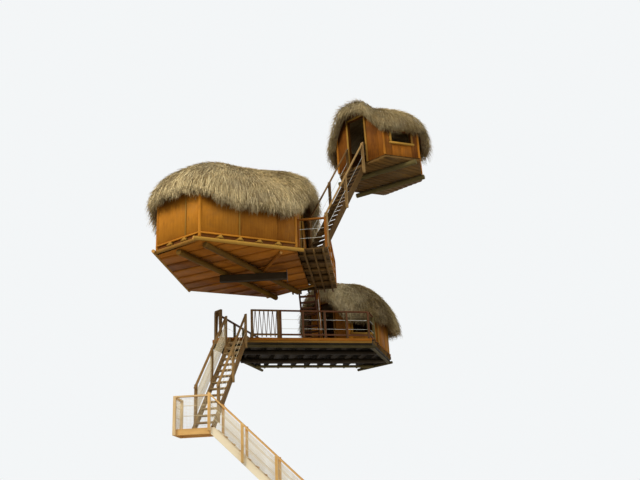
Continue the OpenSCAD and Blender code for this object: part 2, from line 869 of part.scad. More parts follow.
module upper_walls_front() {
    color(orange) {
        window_wall(upper_c, upper_yaw, upper_h, 0, upper_z, upper_roof_form);
        wall(upper_c, upper_yaw, upper_h, 2, upper_z, upper_roof_form);
        wall(upper_c, upper_yaw, upper_h, 4, upper_z, upper_roof_form);
    }
}

module upper_walls_door() {
    color(orange) {
        door_wall(upper_c, upper_yaw, upper_h, 5, upper_z, upper_roof_form);
        wall(upper_c, upper_yaw, upper_h, 1, upper_z, upper_roof_form);
        wall(upper_c, upper_yaw, upper_h, 3, upper_z, upper_roof_form);
    }
}

module upper_roof() {
    cabin_roof(upper_c, upper_yaw, upper_h, upper_z, upper_roof_form);
}

trunk_plate();
trunk_beam();
large_main_poles();
large_brace();
large_rim_poles();
large_floor();
large_wall_front();
large_wall_door();
large_walls_left();
large_walls_back();
large_roof();
porch_deck();
porch_railing();
landing_deck();
landing_railing();
first_strings();
first_treads();
first_rail_near();
first_rail_far();
second_strings();
second_treads();
second_rail_left();
second_rail_right();
terrace_frame();
terrace_deck();
terrace_poles();
terrace_rim_poles();
terrace_railing();
terrace_back_railing();
stick_balustrade();
small_wall_front();
small_wall_door();
small_walls_right();
small_walls_left();
small_roof();
third_strings();
third_treads();
third_rail();
fourth_strings();
fourth_treads();
fourth_rail_left();
fourth_rail_right();
upper_beams();
upper_floor();
upper_walls_front();
upper_walls_door();
upper_roof();
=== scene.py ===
import json
import math

import bmesh
import bpy
import numpy as np
from bpy.props import FloatProperty, FloatVectorProperty, IntProperty, PointerProperty
from mathutils import Matrix, Vector
from mathutils.geometry import convex_hull_2d


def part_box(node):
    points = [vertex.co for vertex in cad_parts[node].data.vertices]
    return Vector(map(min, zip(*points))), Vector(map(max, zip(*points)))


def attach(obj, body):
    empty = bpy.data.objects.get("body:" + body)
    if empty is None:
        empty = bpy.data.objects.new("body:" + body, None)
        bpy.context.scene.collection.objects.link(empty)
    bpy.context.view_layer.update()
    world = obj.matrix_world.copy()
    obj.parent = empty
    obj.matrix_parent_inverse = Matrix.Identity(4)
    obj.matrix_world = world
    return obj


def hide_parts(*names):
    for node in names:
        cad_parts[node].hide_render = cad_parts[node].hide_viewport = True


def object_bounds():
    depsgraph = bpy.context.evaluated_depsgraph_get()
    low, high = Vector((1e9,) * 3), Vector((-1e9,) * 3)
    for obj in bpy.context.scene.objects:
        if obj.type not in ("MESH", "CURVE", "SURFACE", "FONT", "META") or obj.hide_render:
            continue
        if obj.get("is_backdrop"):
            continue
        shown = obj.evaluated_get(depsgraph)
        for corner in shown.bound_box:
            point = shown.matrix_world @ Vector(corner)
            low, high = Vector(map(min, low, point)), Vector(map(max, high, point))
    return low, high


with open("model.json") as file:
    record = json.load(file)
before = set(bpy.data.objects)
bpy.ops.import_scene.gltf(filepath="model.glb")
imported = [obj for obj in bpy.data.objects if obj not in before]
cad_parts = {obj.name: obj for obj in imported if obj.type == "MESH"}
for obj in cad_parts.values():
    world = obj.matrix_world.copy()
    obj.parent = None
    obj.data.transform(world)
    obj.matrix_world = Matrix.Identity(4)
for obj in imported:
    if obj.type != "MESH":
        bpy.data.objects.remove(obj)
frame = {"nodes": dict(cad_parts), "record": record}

bl_info = {
    "name": "Thatched Tree House",
    "version": (1, 0, 0),
    "blender": (4, 5, 0),
    "location": "View3D > Sidebar > Tree House",
    "description": "Boards, poles, thatch, railings and nets for the solids of a tree house",
    "category": "Object",
}

CAD_BOX = [list(corner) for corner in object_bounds()]
NODES = frame["nodes"]
OPENINGS = {o["name"]: o["box_m"] for o in frame["record"]["physics"]["openings"]}


# Sizes and colours

def size(name, description, default):
    """A length for the panel, in metres."""
    return FloatProperty(name=name, description=description, default=default, min=0.0, unit="LENGTH")


def tilt(name, description, degrees):
    """An angle for the panel, given in degrees."""
    return FloatProperty(name=name, description=description, default=math.radians(degrees), unit="ROTATION")


def tint(name, description, default):
    """A colour for the panel."""
    return FloatVectorProperty(name=name, description=description, default=default, size=3, min=0.0,
                               max=1.0, subtype="COLOR")


class BoardSizes(bpy.types.PropertyGroup):
    panel_w: size("Panel width", "Width of the wall panels of the upper cabin", 0.61)
    wide_panel: size("Wide panel", "Width of the wall panels of the two lower cabins", 1.2)
    panel_t: size("Panel thickness", "How far the panels stand off the wall", 0.016)
    joint: size("Joint", "Open joint between two boards", 0.005)
    ease: size("Edge", "Cut taken off the edges of sawn timber", 0.005)
    batten_w: size("Batten width", "Width of the battens over the joints", 0.045)
    batten_t: size("Batten thickness", "Thickness of the battens", 0.022)
    deck_w: size("Deck board", "Width of the deck and floor boards", 0.14)
    deck_t: size("Deck board thickness", "Thickness of the deck and floor boards", 0.03)
    plank_w: size("Terrace plank", "Width of the planks of the terrace", 0.22)
    lap_w: size("Lapped board", "Width of the boards under the large cabin", 0.58)
    long_board: size("Longest board", "Length past which a run of boards has a butt joint", 2.6)
    lap_rise: size("Lap", "Step from one lapped board to the next", 0.035)
    door_w: size("Doorway width", "Clear width of the doorways", 0.74)
    door_h: size("Doorway height", "Clear height of the doorways", 1.9)
    wall_seat: size("Wall seat", "How far the boards run up into the thatch", 0.06)
    window_w: size("Window width", "Clear width of the windows", 0.76)
    window_h: size("Window height", "Clear height of the windows", 0.48)
    sill_h: size("Sill", "Height of the sills above the floor", 0.52)


class ThatchSizes(bpy.types.PropertyGroup):
    thick: size("Thickness", "Thickness of the thatch", 0.28)
    straw_len: size("Straw length", "Length of a tuft of straw", 0.42)
    straw_w: size("Straw width", "Width of a tuft of straw", 0.02)
    cover: IntProperty(name="Cover", description="Tufts on each square metre of thatch", default=340)
    lining: IntProperty(name="Lining", description="Tufts on each square metre inside the eave", default=90)
    fringe: IntProperty(name="Fringe", description="Tufts on each metre of eave", default=430)
    hang: size("Fringe length", "Length of the longest tufts of the fringe", 0.39)


class RailSizes(bpy.types.PropertyGroup):
    mesh_w: size("Net mesh", "Width of a mesh of the nets", 0.036)
    wire_d: size("Net wire", "Diameter of the net's cord", 0.006)


# Kinds of timber: name, light and dark colour, contrast of the grain, dirt, and the grain's depth in metres
WOODS = {
    "stained": ("Stained boards", (0.52, 0.2, 0.014), (0.23, 0.076, 0.005), 1.0, 0.35, 0.003),
    # Lapped boards are stained timber made darker: painted shade, under the cabins and inside the walls
    "lapped": ("Lapped boards", (0.42, 0.14, 0.009), (0.115, 0.034, 0.003), 1.0, 0.4, 0.003),
    # Near-black timber under the terrace and for the trunk beam: painted shade
    "dark": ("Underside timber in painted shade", (0.032, 0.019, 0.007), (0.012, 0.008, 0.004), 0.9, 0.5, 0.003),
    # Timber darkened as painted shade, for undersides and parts that lie under other things
    "painted_shade": ("Timber in painted shade", (0.17, 0.087, 0.02), (0.055, 0.026, 0.006), 0.9, 0.4, 0.003),
    "worn": ("Worn timber", (0.34, 0.2, 0.07), (0.14, 0.07, 0.02), 1.0, 0.4, 0.003),
    "tread": ("Worn treads", (0.5, 0.34, 0.15), (0.28, 0.17, 0.07), 0.9, 0.3, 0.003),
    # Russet timber, darkened as painted shade
    "russet": ("Russet rails", (0.15, 0.055, 0.02), (0.055, 0.018, 0.008), 0.9, 0.3, 0.003),
    # Weathered grey timber, made a little darker as painted shade
    "grey": ("Weathered posts", (0.15, 0.112, 0.035), (0.05, 0.036, 0.012), 0.9, 0.4, 0.003),
    "new": ("New rails", (0.82, 0.5, 0.175), (0.55, 0.27, 0.075), 1.0, 0.12, 0.002),
    "post": ("New posts", (0.9, 0.69, 0.39), (0.66, 0.44, 0.2), 1.0, 0.12, 0.002),
    "pale": ("Planed strings", (0.97, 0.87, 0.65), (0.9, 0.74, 0.48), 0.8, 0.1, 0.002),
    "peeled": ("Peeled poles", (0.44, 0.23, 0.035), (0.22, 0.095, 0.014), 0.9, 0.3, 0.006),
    "log": ("Bark poles", (0.22, 0.11, 0.012), (0.1, 0.046, 0.004), 1.2, 0.3, 0.012),
    "cut": ("Sawn ends", (0.66, 0.33, 0.08), (0.4, 0.2, 0.05), 0.6, 0.1, 0.002),
}


class Colours(bpy.types.PropertyGroup):
    straw_light: tint("Light straw", "Tufts bleached by the sun", (0.95, 0.77, 0.42))
    straw_dark: tint("Dark straw", "Old damp straw", (0.24, 0.16, 0.06))
    steel: tint("Steel", "Paint of the trunk plate", (0.05, 0.048, 0.045))
    cable: tint("Cable", "Stranded cables", (0.7, 0.67, 0.56))
    cord: tint("Net cord", "Cord of the nets", (0.74, 0.6, 0.35))


for wood, (label, light, dark, *_) in WOODS.items():
    colour_of = " colour of the " + label.lower()
    Colours.__annotations__[wood + "_light"] = tint(label, "Lightest" + colour_of, light)
    Colours.__annotations__[wood + "_dark"] = tint(label + ", dark", "Darkest" + colour_of, dark)


class StageSettings(bpy.types.PropertyGroup):
    lens: FloatProperty(name="Lens", description="Focal length on the sensor", default=39.375, unit="CAMERA")
    sensor: FloatProperty(name="Sensor", description="Width of the sensor", default=36.0, unit="CAMERA")
    pitch: tilt("Pitch", "Upward tilt of the camera", 21)
    roll: tilt("Roll", "Roll of the camera", 3)
    eye: size("Eye height", "Height of the camera above the ground", 1.6)
    distance: size("Distance", "Distance of the camera from the trunk plate, along +Y", 21.3)
    aside: size("Aside", "Offset of the camera to the right of the trunk plate", 1.1)
    ground: FloatProperty(name="Ground", description="Height of the ground, from the trunk plate",
                          default=-8.6134, unit="LENGTH")


GROUPS = {"boards": BoardSizes, "thatch": ThatchSizes, "rails": RailSizes, "colours": Colours,
          "stage": StageSettings}


def sizes(group):
    """The property group of the scene with this short name."""
    return getattr(bpy.context.scene, "tree_house_" + group)


# What the frame says

def column(rows, name, kind=float):
    """One value of each row of a mesh's data, or its three values where the kind is 3."""
    held = np.empty(len(rows) * 3) if kind == 3 else np.empty(len(rows), kind)
    rows.foreach_get(name, held)
    return held.reshape(-1, 3) if kind == 3 else held


def points_of(*nodes):
    """Every vertex of some nodes, as rows of x, y, z."""
    return np.concatenate([column(NODES[node].data.vertices, "co", 3) for node in nodes])


def unit(vectors):
    """Vectors divided by their lengths."""
    return vectors / np.linalg.norm(vectors, axis=-1, keepdims=True)


class Outline:
    """A convex plan, counter-clockwise from the left corner of its front side, which faces closest to 70
    degrees clockwise of +X. Side i starts at corner i. On a side, x runs along it, y inwards and z up. A
    point of the outline where the sine of the turn is under least_turn is no corner."""

    def __init__(self, flat, front=-70.0, least_turn=0.2):
        flat = np.unique(flat.round(4), axis=0)
        ring = flat[convex_hull_2d([Vector(p) for p in flat])]
        if np.cross(ring[1] - ring[0], ring[2] - ring[1]) < 0:
            ring = ring[::-1]
        before = ring - np.roll(ring, 1, axis=0)
        after = np.roll(ring, -1, axis=0) - ring
        turn = np.cross(before, after) / (np.linalg.norm(before, axis=1) * np.linalg.norm(after, axis=1))
        ring = ring[turn > least_turn]
        edge = np.roll(ring, -1, axis=0) - ring
        facing = np.degrees(np.arctan2(-edge[:, 0], edge[:, 1]))
        first = np.argmin(abs(facing - front))
        self.corners = np.roll(ring, -first, axis=0)
        edge = np.roll(self.corners, -1, axis=0) - self.corners
        self.lengths = np.linalg.norm(edge, axis=1)
        self.along = edge / self.lengths[:, None]
        self.inward = np.stack([-self.along[:, 1], self.along[:, 0]], axis=1)

    def at(self, side, x, y, z):
        """World points of local x, y, z on a side."""
        x, y, z = np.broadcast_arrays(x, y, z)
        flat = self.corners[side] + x[..., None] * self.along[side] + y[..., None] * self.inward[side]
        return np.concatenate([flat, z[..., None]], axis=-1)

    def nearest(self, point):
        """The side that a point is on, and where it is along it."""
        offset = np.asarray(point)[None] - self.corners
        away = abs((offset * self.inward).sum(1))
        side = int(np.argmin(away))
        return side, float(offset[side] @ self.along[side])


class Flat:
    """The level top of a node, as a plan that lines are cut to."""

    def __init__(self, node):
        co = points_of(node)
        faces = co[column(NODES[node].data.loops, "vertex_index", int)].reshape(-1, 3, 3)
        top = faces[(abs(faces[:, :, 2] - co[:, 2].max()) < 0.0005).all(1), :, :2]
        self.edges = np.stack([top, np.roll(top, -1, axis=1)], axis=2).reshape(-1, 2, 2)

    def span(self, left):
        """How far the plan runs from right to left."""
        across = self.edges @ left
        return across.min(), across.max()

    def reach(self, direction, left, offset):
        """First and last distance along direction of lines cut by the plan's edges; offset is how far each
        line is to the left of the origin."""
        s, t = self.edges @ left, self.edges @ direction
        with np.errstate(divide="ignore", invalid="ignore"):
            f = (np.asarray(offset)[..., None] - s[:, 0]) / (s[:, 1] - s[:, 0])
        met = (f >= 0) & (f <= 1)
        cut = t[:, 0] + np.where(met, f, 0) * (t[:, 1] - t[:, 0])
        first = np.where(met, cut, np.inf).min(-1)
        return first, np.maximum(np.where(met, cut, -np.inf).max(-1), first)


ROUND_POWER = 10    # how square the corners of an eave are


class Cabin:
    """A cabin as the frame has it: its plan, floor level, eave and roof top. Its straw tones at the top and
    at the eave lighten or darken its straw as painted light and shade. A brow is its side, half width in
    degrees, lift over the eave and further reach."""

    def __init__(self, name, painted_light, eave_out, *brows):
        self.name = name
        self.painted_light = painted_light
        self.walls = [node for node in NODES if node.startswith(name + "_wall")]
        self.eave_out = eave_out
        self.brows = brows
        co = points_of(*self.walls)
        self.floor = co[:, 2].min()
        self.plan = Outline(co[abs(co[:, 2] - self.floor) < 0.001, :2])
        roof = points_of(name + "_roof")
        self.eave = roof[:, 2].min()
        tip = roof[roof[:, 2].argmax()]
        self.middle = tip[:2]
        self.rise = tip[2] - self.eave
        self.doors = self.holes("doorway")
        self.windows = self.holes("window")
        self.away = -((self.plan.corners - self.middle) * self.plan.inward).sum(1)
        self.facing = np.arctan2(-self.plan.inward[:, 1], -self.plan.inward[:, 0])

    def holes(self, kind):
        """Side and place along it of each stated opening of a kind."""
        found = []
        for name, (low, high) in OPENINGS.items():
            if name.startswith(self.name) and kind in name:
                middle = [(low[0] + high[0]) / 2, (low[1] + high[1]) / 2]
                found.append(self.plan.nearest(middle))
        return found

    def radius(self, angle, inner=0.0):
        """Radius of the eave: a power mean of the distances of the sides, so that the corners are round,
        with the further reach of each brow."""
        angle = np.asarray(angle, float)
        near = np.maximum(np.cos(angle[..., None] - self.facing), 0.0) / (self.away + self.eave_out)
        further = sum(out * self.brow(angle, side, half) for side, half, _, out in self.brows)
        return (near ** ROUND_POWER).sum(-1) ** (-1 / ROUND_POWER) + further - inner

    def brow(self, angle, side, half):
        """1 over the middle of a side, falling to 0 past half degrees to each side of it."""
        gap = abs((angle - self.facing[side] + np.pi) % (2 * np.pi) - np.pi)
        return np.exp(-(gap / math.radians(half)) ** 4)

    def height(self, angle, s, inner):
        """Height of the thatch for s from 0 at the top to 1 at the eave: a dome mostly round and partly
        conical, lifted by each brow."""
        dome = 0.75 * np.sqrt(np.maximum(1 - s * s, 0.0)) + 0.25 * (1 - s)
        lift = sum(up * self.brow(angle, side, half) for side, half, up, _ in self.brows)
        return self.eave + lift * s * s + (self.rise - inner) * dome

    def wall_top(self, side, x):
        """Height above the floor at which the boards of a side end inside the thatch."""
        point = self.plan.at(side, x, 0.0, 0.0)[..., :2] - self.middle
        angle = np.arctan2(point[..., 1], point[..., 0])
        inner = sizes("thatch").thick
        s = np.minimum(np.linalg.norm(point, axis=-1) / self.radius(angle, inner), 1.0)
        return self.height(angle, s, inner) - self.floor + sizes("boards").wall_seat


# The reach of the eaves and the lift of a full brow, as in the solids
EAVE_OUT, BROW_LIFT = 0.4, 1.05
# The second value of each cabin is its straw tone at the top and at the eave: painted light and shade
LARGE = Cabin("large", (1.0, 1.4), EAVE_OUT, (1, 32, BROW_LIFT, 0.2), (5, 30, 0.45, 0.06))
SMALL = Cabin("small", (1.15, 0.45), 0.56, (5, 28, BROW_LIFT, 0.06))
UPPER = Cabin("upper", (1.0, 0.75), EAVE_OUT, (5, 29, BROW_LIFT, 0.1))
CABINS = (LARGE, SMALL, UPPER)


# Shapes as arrays

# The corners of a quad on a grid, as steps along its rows and columns
TURNS = ((0, 0), (0, 1), (1, 1), (1, 0))
# How far the tone of an item moves its place in the grain, along the grain and across it, and of a sawn copy
# both ways
ALONG_SHIFT, ACROSS_SHIFT, SAWN_SHIFT = 37.1, 53.7, 31.0


class Shape:
    """Points with a tone each, 0 being the dark colour and 1 the light one, and faces with a place in the
    grain for each corner."""

    def __init__(self):
        self.points, self.tones, self.faces = [], [], []
        self.count = 0

    def add(self, points, tones, faces):
        """faces is a list of (corner indices, grain places, material index)."""
        self.points.append(points)
        self.tones.append(tones)
        self.faces += [(index + self.count, grain, material) for index, grain, material in faces]
        self.count += len(points)
        return self

    def loft(self, rings, tones, cap=0):
        """Profiles carried along paths: rings[i, r, s] is point s of ring r of item i. Both ends are closed,
        with the material index cap."""
        rings = np.asarray(rings, float)
        count, length, around, _ = rings.shape
        middle = rings.mean(2)
        path = middle[:, -1] - middle[:, 0]
        spoke = rings[:, 0] - middle[:, :1]
        area = np.cross(spoke, np.roll(spoke, -1, axis=1)).sum(1)
        turned = (area * path).sum(1) < 0
        rings = np.where(turned[:, None, None, None], rings[:, :, ::-1], rings)
        tones = np.broadcast_to(tones, (count,)).astype(float)
        step = np.linalg.norm(np.diff(middle, axis=1), axis=2)
        u = np.concatenate([np.zeros((count, 1)), step.cumsum(1)], axis=1) + tones[:, None] * ALONG_SHIFT
        side = np.linalg.norm(np.roll(rings[:, 0], -1, axis=1) - rings[:, 0], axis=2)
        v = np.concatenate([np.zeros((count, 1)), side.cumsum(1)], axis=1) + tones[:, None] * ACROSS_SHIFT
        i, r, s = np.meshgrid(np.arange(count), np.arange(length - 1), np.arange(around), indexing="ij")
        corner = lambda dr, ds: (i * length + r + dr) * around + (s + ds) % around
        place = lambda dr, ds: np.stack([u[i, r + dr], v[i, s + ds]], axis=-1)
        quads = np.stack([corner(*t) for t in TURNS], axis=-1).reshape(-1, 4)
        grain = np.stack([place(*t) for t in TURNS], axis=-2).reshape(-1, 4, 2)
        first = np.arange(count)[:, None] * length * around + np.arange(around)[None]
        flat = np.zeros((count, around, 2)) + np.stack([u[:, :1], v[:, :1]], axis=-1)
        faces = [(quads, grain, 0), (first[:, ::-1], flat, cap), (first + (length - 1) * around, flat, cap)]
        return self.add(rings.reshape(-1, 3), np.repeat(tones, length * around), faces)

    def bars(self, start, along, across, out, tones):
        """Sawn bars: a rectangle with cut corners, spanned by across and out, carried from start by along.
        The cut is at most three tenths of the thinner side."""
        rows = [np.atleast_2d(np.asarray(v, float)) for v in (start, along, across, out)]
        start, along, across, out = np.broadcast_arrays(*rows)
        w = np.linalg.norm(across, axis=1, keepdims=True)
        d = np.linalg.norm(out, axis=1, keepdims=True)
        e = np.minimum(sizes("boards").ease, 0.3 * np.minimum(w, d))
        x = np.concatenate([e, w - e, w, w, w - e, e, 0 * e, 0 * e], axis=1)
        y = np.concatenate([0 * e, 0 * e, e, d - e, d, d, d - e, e], axis=1)
        ring = start[:, None] + x[..., None] * (across / w)[:, None] + y[..., None] * (out / d)[:, None]
        return self.loft(np.stack([ring, ring + along[:, None]], axis=1), tones)

    def poles(self, start, end, radius, tones, rings, sides, seed=0, wobble=0.05, bow=0.0, cap=0):
        """Round poles: a circle whose radius follows sine waves of the angle and the length, on a path that
        bows sideways by a half sine. The ends have the material index cap."""
        start, end = np.atleast_2d(start).astype(float), np.atleast_2d(end).astype(float)
        axis = end - start
        length = np.linalg.norm(axis, axis=1, keepdims=True)
        axis = axis / length
        guide = np.where(abs(axis[:, 2:]) > 0.9, [[1.0, 0.0, 0.0]], [[0.0, 0.0, 1.0]])
        right = unit(np.cross(axis, guide))
        up = np.cross(right, axis)
        t = np.linspace(0, 1, rings)[None, :, None]
        a = np.linspace(0, 2 * np.pi, sides, endpoint=False)[None, None]
        item = np.arange(len(start))[:, None, None]
        r = np.broadcast_to(radius, (len(start),))[:, None, None]
        r = r * (1 + wobble * waves(np.cos(a) + 3 * item, np.sin(a) + t * length[:, :, None] * 1.5, seed))
        side = (bow * np.sin(np.pi * t))[..., None]
        middle = start[:, None, None] + t[..., None] * (end - start)[:, None, None]
        rings_at = (middle + side * right[:, None, None]
                    + (r * np.cos(a))[..., None] * right[:, None, None]
                    + (r * np.sin(a))[..., None] * up[:, None, None])
        return self.loft(rings_at, tones, cap)


def waves(x, y, seed, count=5):
    """Sum of sine waves over x and y, from about -1 to 1. Each has a seeded direction and phase, and is
    shorter and lower than the one before."""
    rng = np.random.default_rng(1000 + seed)
    total = 0.0
    for k in range(count):
        angle, phase = rng.uniform(0, 2 * np.pi, 2)
        pace = 1.3 * 1.6 ** k
        total = total + np.sin(pace * (np.cos(angle) * x + np.sin(angle) * y) + phase) / (1 + 0.6 * k)
    return total / 2.2


def chance(seed, *shape):
    """Seeded values from 0 to 1."""
    return np.random.default_rng(seed).random(shape)


def mark(mesh, grain, tones):
    """Stores the place in the grain of each corner of a mesh, and the tone of each point."""
    mesh.uv_layers.new(name="grain").uv.foreach_set("vector", grain.ravel().astype(np.float32))
    mesh.attributes.new("tone", "FLOAT", "POINT").data.foreach_set("value", tones.astype(np.float32))


def piece(name, shape, materials, replaces=(), smooth=None):
    """Makes a mesh object from a shape. Faces smooth over up to the angle smooth, in degrees."""
    points = np.concatenate(shape.points)
    totals = np.concatenate([np.full(len(f), f.shape[1]) for f, _, _ in shape.faces])
    index = np.concatenate([f.ravel() for f, _, _ in shape.faces])
    grain = np.concatenate([g.reshape(-1, 2) for _, g, _ in shape.faces])
    which = np.concatenate([np.full(len(f), m) for f, _, m in shape.faces])
    mesh = bpy.data.meshes.new(name)
    mesh.vertices.add(len(points))
    mesh.vertices.foreach_set("co", points.ravel())
    mesh.loops.add(len(index))
    mesh.loops.foreach_set("vertex_index", index.astype(np.int32))
    mesh.polygons.add(len(totals))
    mesh.polygons.foreach_set("loop_start", np.concatenate([[0], totals.cumsum()[:-1]]).astype(np.int32))
    mesh.polygons.foreach_set("material_index", which.astype(np.int32))
    mesh.update(calc_edges=True)
    mark(mesh, grain, np.concatenate(shape.tones))
    if smooth is not None:
        mesh.shade_smooth()
        mesh.set_sharp_from_angle(angle=math.radians(smooth))
    return dress(bpy.data.objects.new(name, mesh), materials, replaces)


def dress(thing, materials, replaces):
    """Links an object, gives it its materials and ties it to the frame."""
    bpy.context.scene.collection.objects.link(thing)
    for material in materials:
        thing.data.materials.append(material)
    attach(thing, "root")
    if replaces:
        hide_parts(*replaces)
    return thing


# Merged are points this close; cut are edges at least so long and so sharp; a face of a round bar is at most
# so wide and at least so long; and a face is upright where its longest edge is, to within this cosine
MERGED, SHORTEST_CUT, SHARP = 0.00001, 0.03, math.radians(50)
BAR_FACE, BAR_LENGTH, UPRIGHT = 0.0042, 0.05, 0.98


def sawn_copy(node, name, materials, seed, ease=0.006):
    """A CAD node as sawn timber: its mesh merged, its sharp edges cut by ease, the grain of each face along
    the face's longest edge, and one tone for each loose solid. Of three materials, upright timber takes the
    second and thin round bars the third."""
    mesh = NODES[node].data.copy()
    mesh.name = name
    mesh.materials.clear()
    work = bmesh.new()
    work.from_mesh(mesh)
    bmesh.ops.remove_doubles(work, verts=work.verts, dist=MERGED)
    bmesh.ops.dissolve_limit(work, angle_limit=math.radians(1), verts=work.verts, edges=work.edges)
    sharp = [e for e in work.edges
             if e.is_manifold and e.calc_length() > SHORTEST_CUT and e.calc_face_angle() > SHARP]
    bmesh.ops.bevel(work, geom=sharp, offset=ease, segments=1, affect="EDGES", clamp_overlap=True)
    work.to_mesh(mesh)
    work.free()
    for layer in list(mesh.uv_layers):
        mesh.uv_layers.remove(layer)
    co, index = column(mesh.vertices, "co", 3), column(mesh.loops, "vertex_index", int)
    begin, total = (column(mesh.polygons, "loop_" + key, int) for key in ("start", "total"))
    normal, area = column(mesh.polygons, "normal", 3), column(mesh.polygons, "area")
    owner = np.repeat(np.arange(len(total)), total)
    following = np.arange(len(index)) + 1
    following[begin + total - 1] = begin
    edge = co[index[following]] - co[index]
    length = np.linalg.norm(edge, axis=1)
    longest = np.lexsort((length, owner))[begin + total - 1]
    along = edge[longest] / np.maximum(length[longest], 1e-9)[:, None]
    across = np.cross(normal, along)
    label = islands(len(co), index, owner, total)
    tone = chance(seed, label.max() + 1)[label]
    shift = tone[index] * SAWN_SHIFT
    mark(mesh, np.stack([(co[index] * way[owner]).sum(1) + shift for way in (along, across)], axis=1), tone)
    if len(materials) > 1:
        thin = (area / np.maximum(length[longest], 1e-9) < BAR_FACE) & (length[longest] > BAR_LENGTH)
        upright = abs(along[:, 2]) > UPRIGHT * np.linalg.norm(along, axis=1)
        mesh.polygons.foreach_set("material_index", np.where(thin, 2, upright).astype(np.int32))
    return dress(bpy.data.objects.new(name, mesh), materials, [node])


def islands(count, index, owner, total):
    """A number for each loose part of a mesh, for each of its vertices: the lowest vertex reached through
    faces, spread until nothing changes."""
    label = np.arange(count)
    starts = np.concatenate([[0], total.cumsum()[:-1]])
    while True:
        low = np.minimum.reduceat(label[index], starts)
        new = label.copy()
        np.minimum.at(new, index, low[owner])
        new = new[new]
        if (new == label).all():
            break
        label = new
    return np.unique(label, return_inverse=True)[1].reshape(-1)


# Materials

class Tree:
    """Adds nodes to a node tree. An input is a value or another node's output."""

    def __init__(self, tree):
        self.tree = tree

    def add(self, kind, inputs=None, **settings):
        """A new node of a kind, with its settings and inputs."""
        node = self.tree.nodes.new(kind)
        for key, value in settings.items():
            setattr(node, key, value)
        for key, value in (inputs or {}).items():
            if isinstance(value, bpy.types.NodeSocket):
                self.tree.links.new(value, node.inputs[key])
            else:
                node.inputs[key].default_value = value
        return node

    def math(self, operation, a, b):
        return self.add("ShaderNodeMath", {0: a, 1: b}, operation=operation).outputs[0]

    def plus(self, a, b):
        return self.math("ADD", a, b)

    def times(self, a, b):
        return self.math("MULTIPLY", a, b)

    def centred(self, value, contrast):
        """A value around 0.5 as one around 0, times a contrast."""
        return self.times(self.math("SUBTRACT", value, 0.5), contrast)

    def clamp(self, value):
        return self.add("ShaderNodeClamp", {0: value}).outputs[0]

    def mix(self, factor, a, b):
        return self.add("ShaderNodeMix", {0: factor, 6: a, 7: b}, data_type="RGBA").outputs[2]

    def noise(self, vector, scale, detail, rough=0.55):
        inputs = {"Vector": vector, "Scale": scale, "Detail": detail, "Roughness": rough}
        return self.add("ShaderNodeTexNoise", inputs).outputs[0]

    def stretch(self, vector, along, across):
        """A place in the grain with its two directions scaled."""
        return self.add("ShaderNodeMapping", {"Vector": vector, "Scale": (along, across, 1.0)}).outputs[0]

    def span(self, value, low, high, to_low=0.0, to_high=1.0):
        """A value moved from one range into another."""
        inputs = {0: value, 1: low, 2: high, 3: to_low, 4: to_high}
        return self.add("ShaderNodeMapRange", inputs).outputs[0]

    def feed(self, inputs, **values):
        """Links outputs to the inputs of these names."""
        for key, value in values.items():
            self.tree.links.new(value, inputs[key])


def group(name, **inputs):
    """A new shader node group with inputs of these kinds, and with a colour, a roughness and a height as its
    outputs. Returns it, its tree helper, and the sockets inside it to take from and to give to."""
    made = bpy.data.node_groups.new(name, "ShaderNodeTree")
    outputs = {"Color": "Color", "Roughness": "Float", "Height": "Float"}
    for way, sockets in (("INPUT", inputs), ("OUTPUT", outputs)):
        for key, kind in sockets.items():
            made.interface.new_socket(name=key, in_out=way, socket_type="NodeSocket" + kind)
    tree = Tree(made)
    return made, tree, tree.add("NodeGroupInput").outputs, tree.add("NodeGroupOutput").inputs


KNOT_COLOUR, DIRT_COLOUR = (0.03, 0.015, 0.008, 1.0), (0.085, 0.065, 0.035, 1.0)
GREY_STRAW = (0.42, 0.35, 0.24, 1.0)
DARK_RUST, LIGHT_RUST = (0.09, 0.03, 0.012, 1.0), (0.3, 0.11, 0.035, 1.0)


def wood_group():
    """Streaks along the grain, blotches of stain, knots and dirt on sawn or round timber."""
    made, t, take, give = group("Timber", Grain="Vector", Place="Vector", Tone="Float", Light="Color",
                                Dark="Color", Contrast="Float", Dirt="Float")
    streak = t.noise(t.stretch(take["Grain"], 1.6, 34.0), 1.0, 5.0, 0.6)
    fine = t.noise(t.stretch(take["Grain"], 9.0, 190.0), 1.0, 2.0)
    blotch = t.noise(take["Place"], 1.7, 4.0, 0.6)
    cell = t.add("ShaderNodeTexVoronoi", {"Vector": t.stretch(take["Grain"], 1.1, 5.5), "Scale": 1.0})
    knot = t.span(cell.outputs[0], 0.02, 0.12, 1.0, 0.0)
    grainy = t.centred(streak, take["Contrast"])
    shade = t.plus(t.centred(take["Tone"], 0.9), t.plus(grainy, t.math("SUBTRACT", blotch, 0.5)))
    color = t.mix(t.clamp(t.plus(shade, 0.5)), take["Dark"], take["Light"])
    color = t.mix(t.times(knot, 0.55), color, t.mix(0.65, take["Dark"], KNOT_COLOUR))
    dirt = t.times(t.span(t.noise(take["Place"], 0.9, 6.0, 0.7), 0.5, 0.72), take["Dirt"])
    height = t.plus(t.times(streak, 0.6), t.times(fine, 0.4))
    t.feed(give, Color=t.mix(dirt, color, DIRT_COLOUR), Roughness=t.span(streak, 0.2, 0.8, 0.82, 0.6),
           Height=t.math("SUBTRACT", height, t.times(knot, 0.3)))
    return made


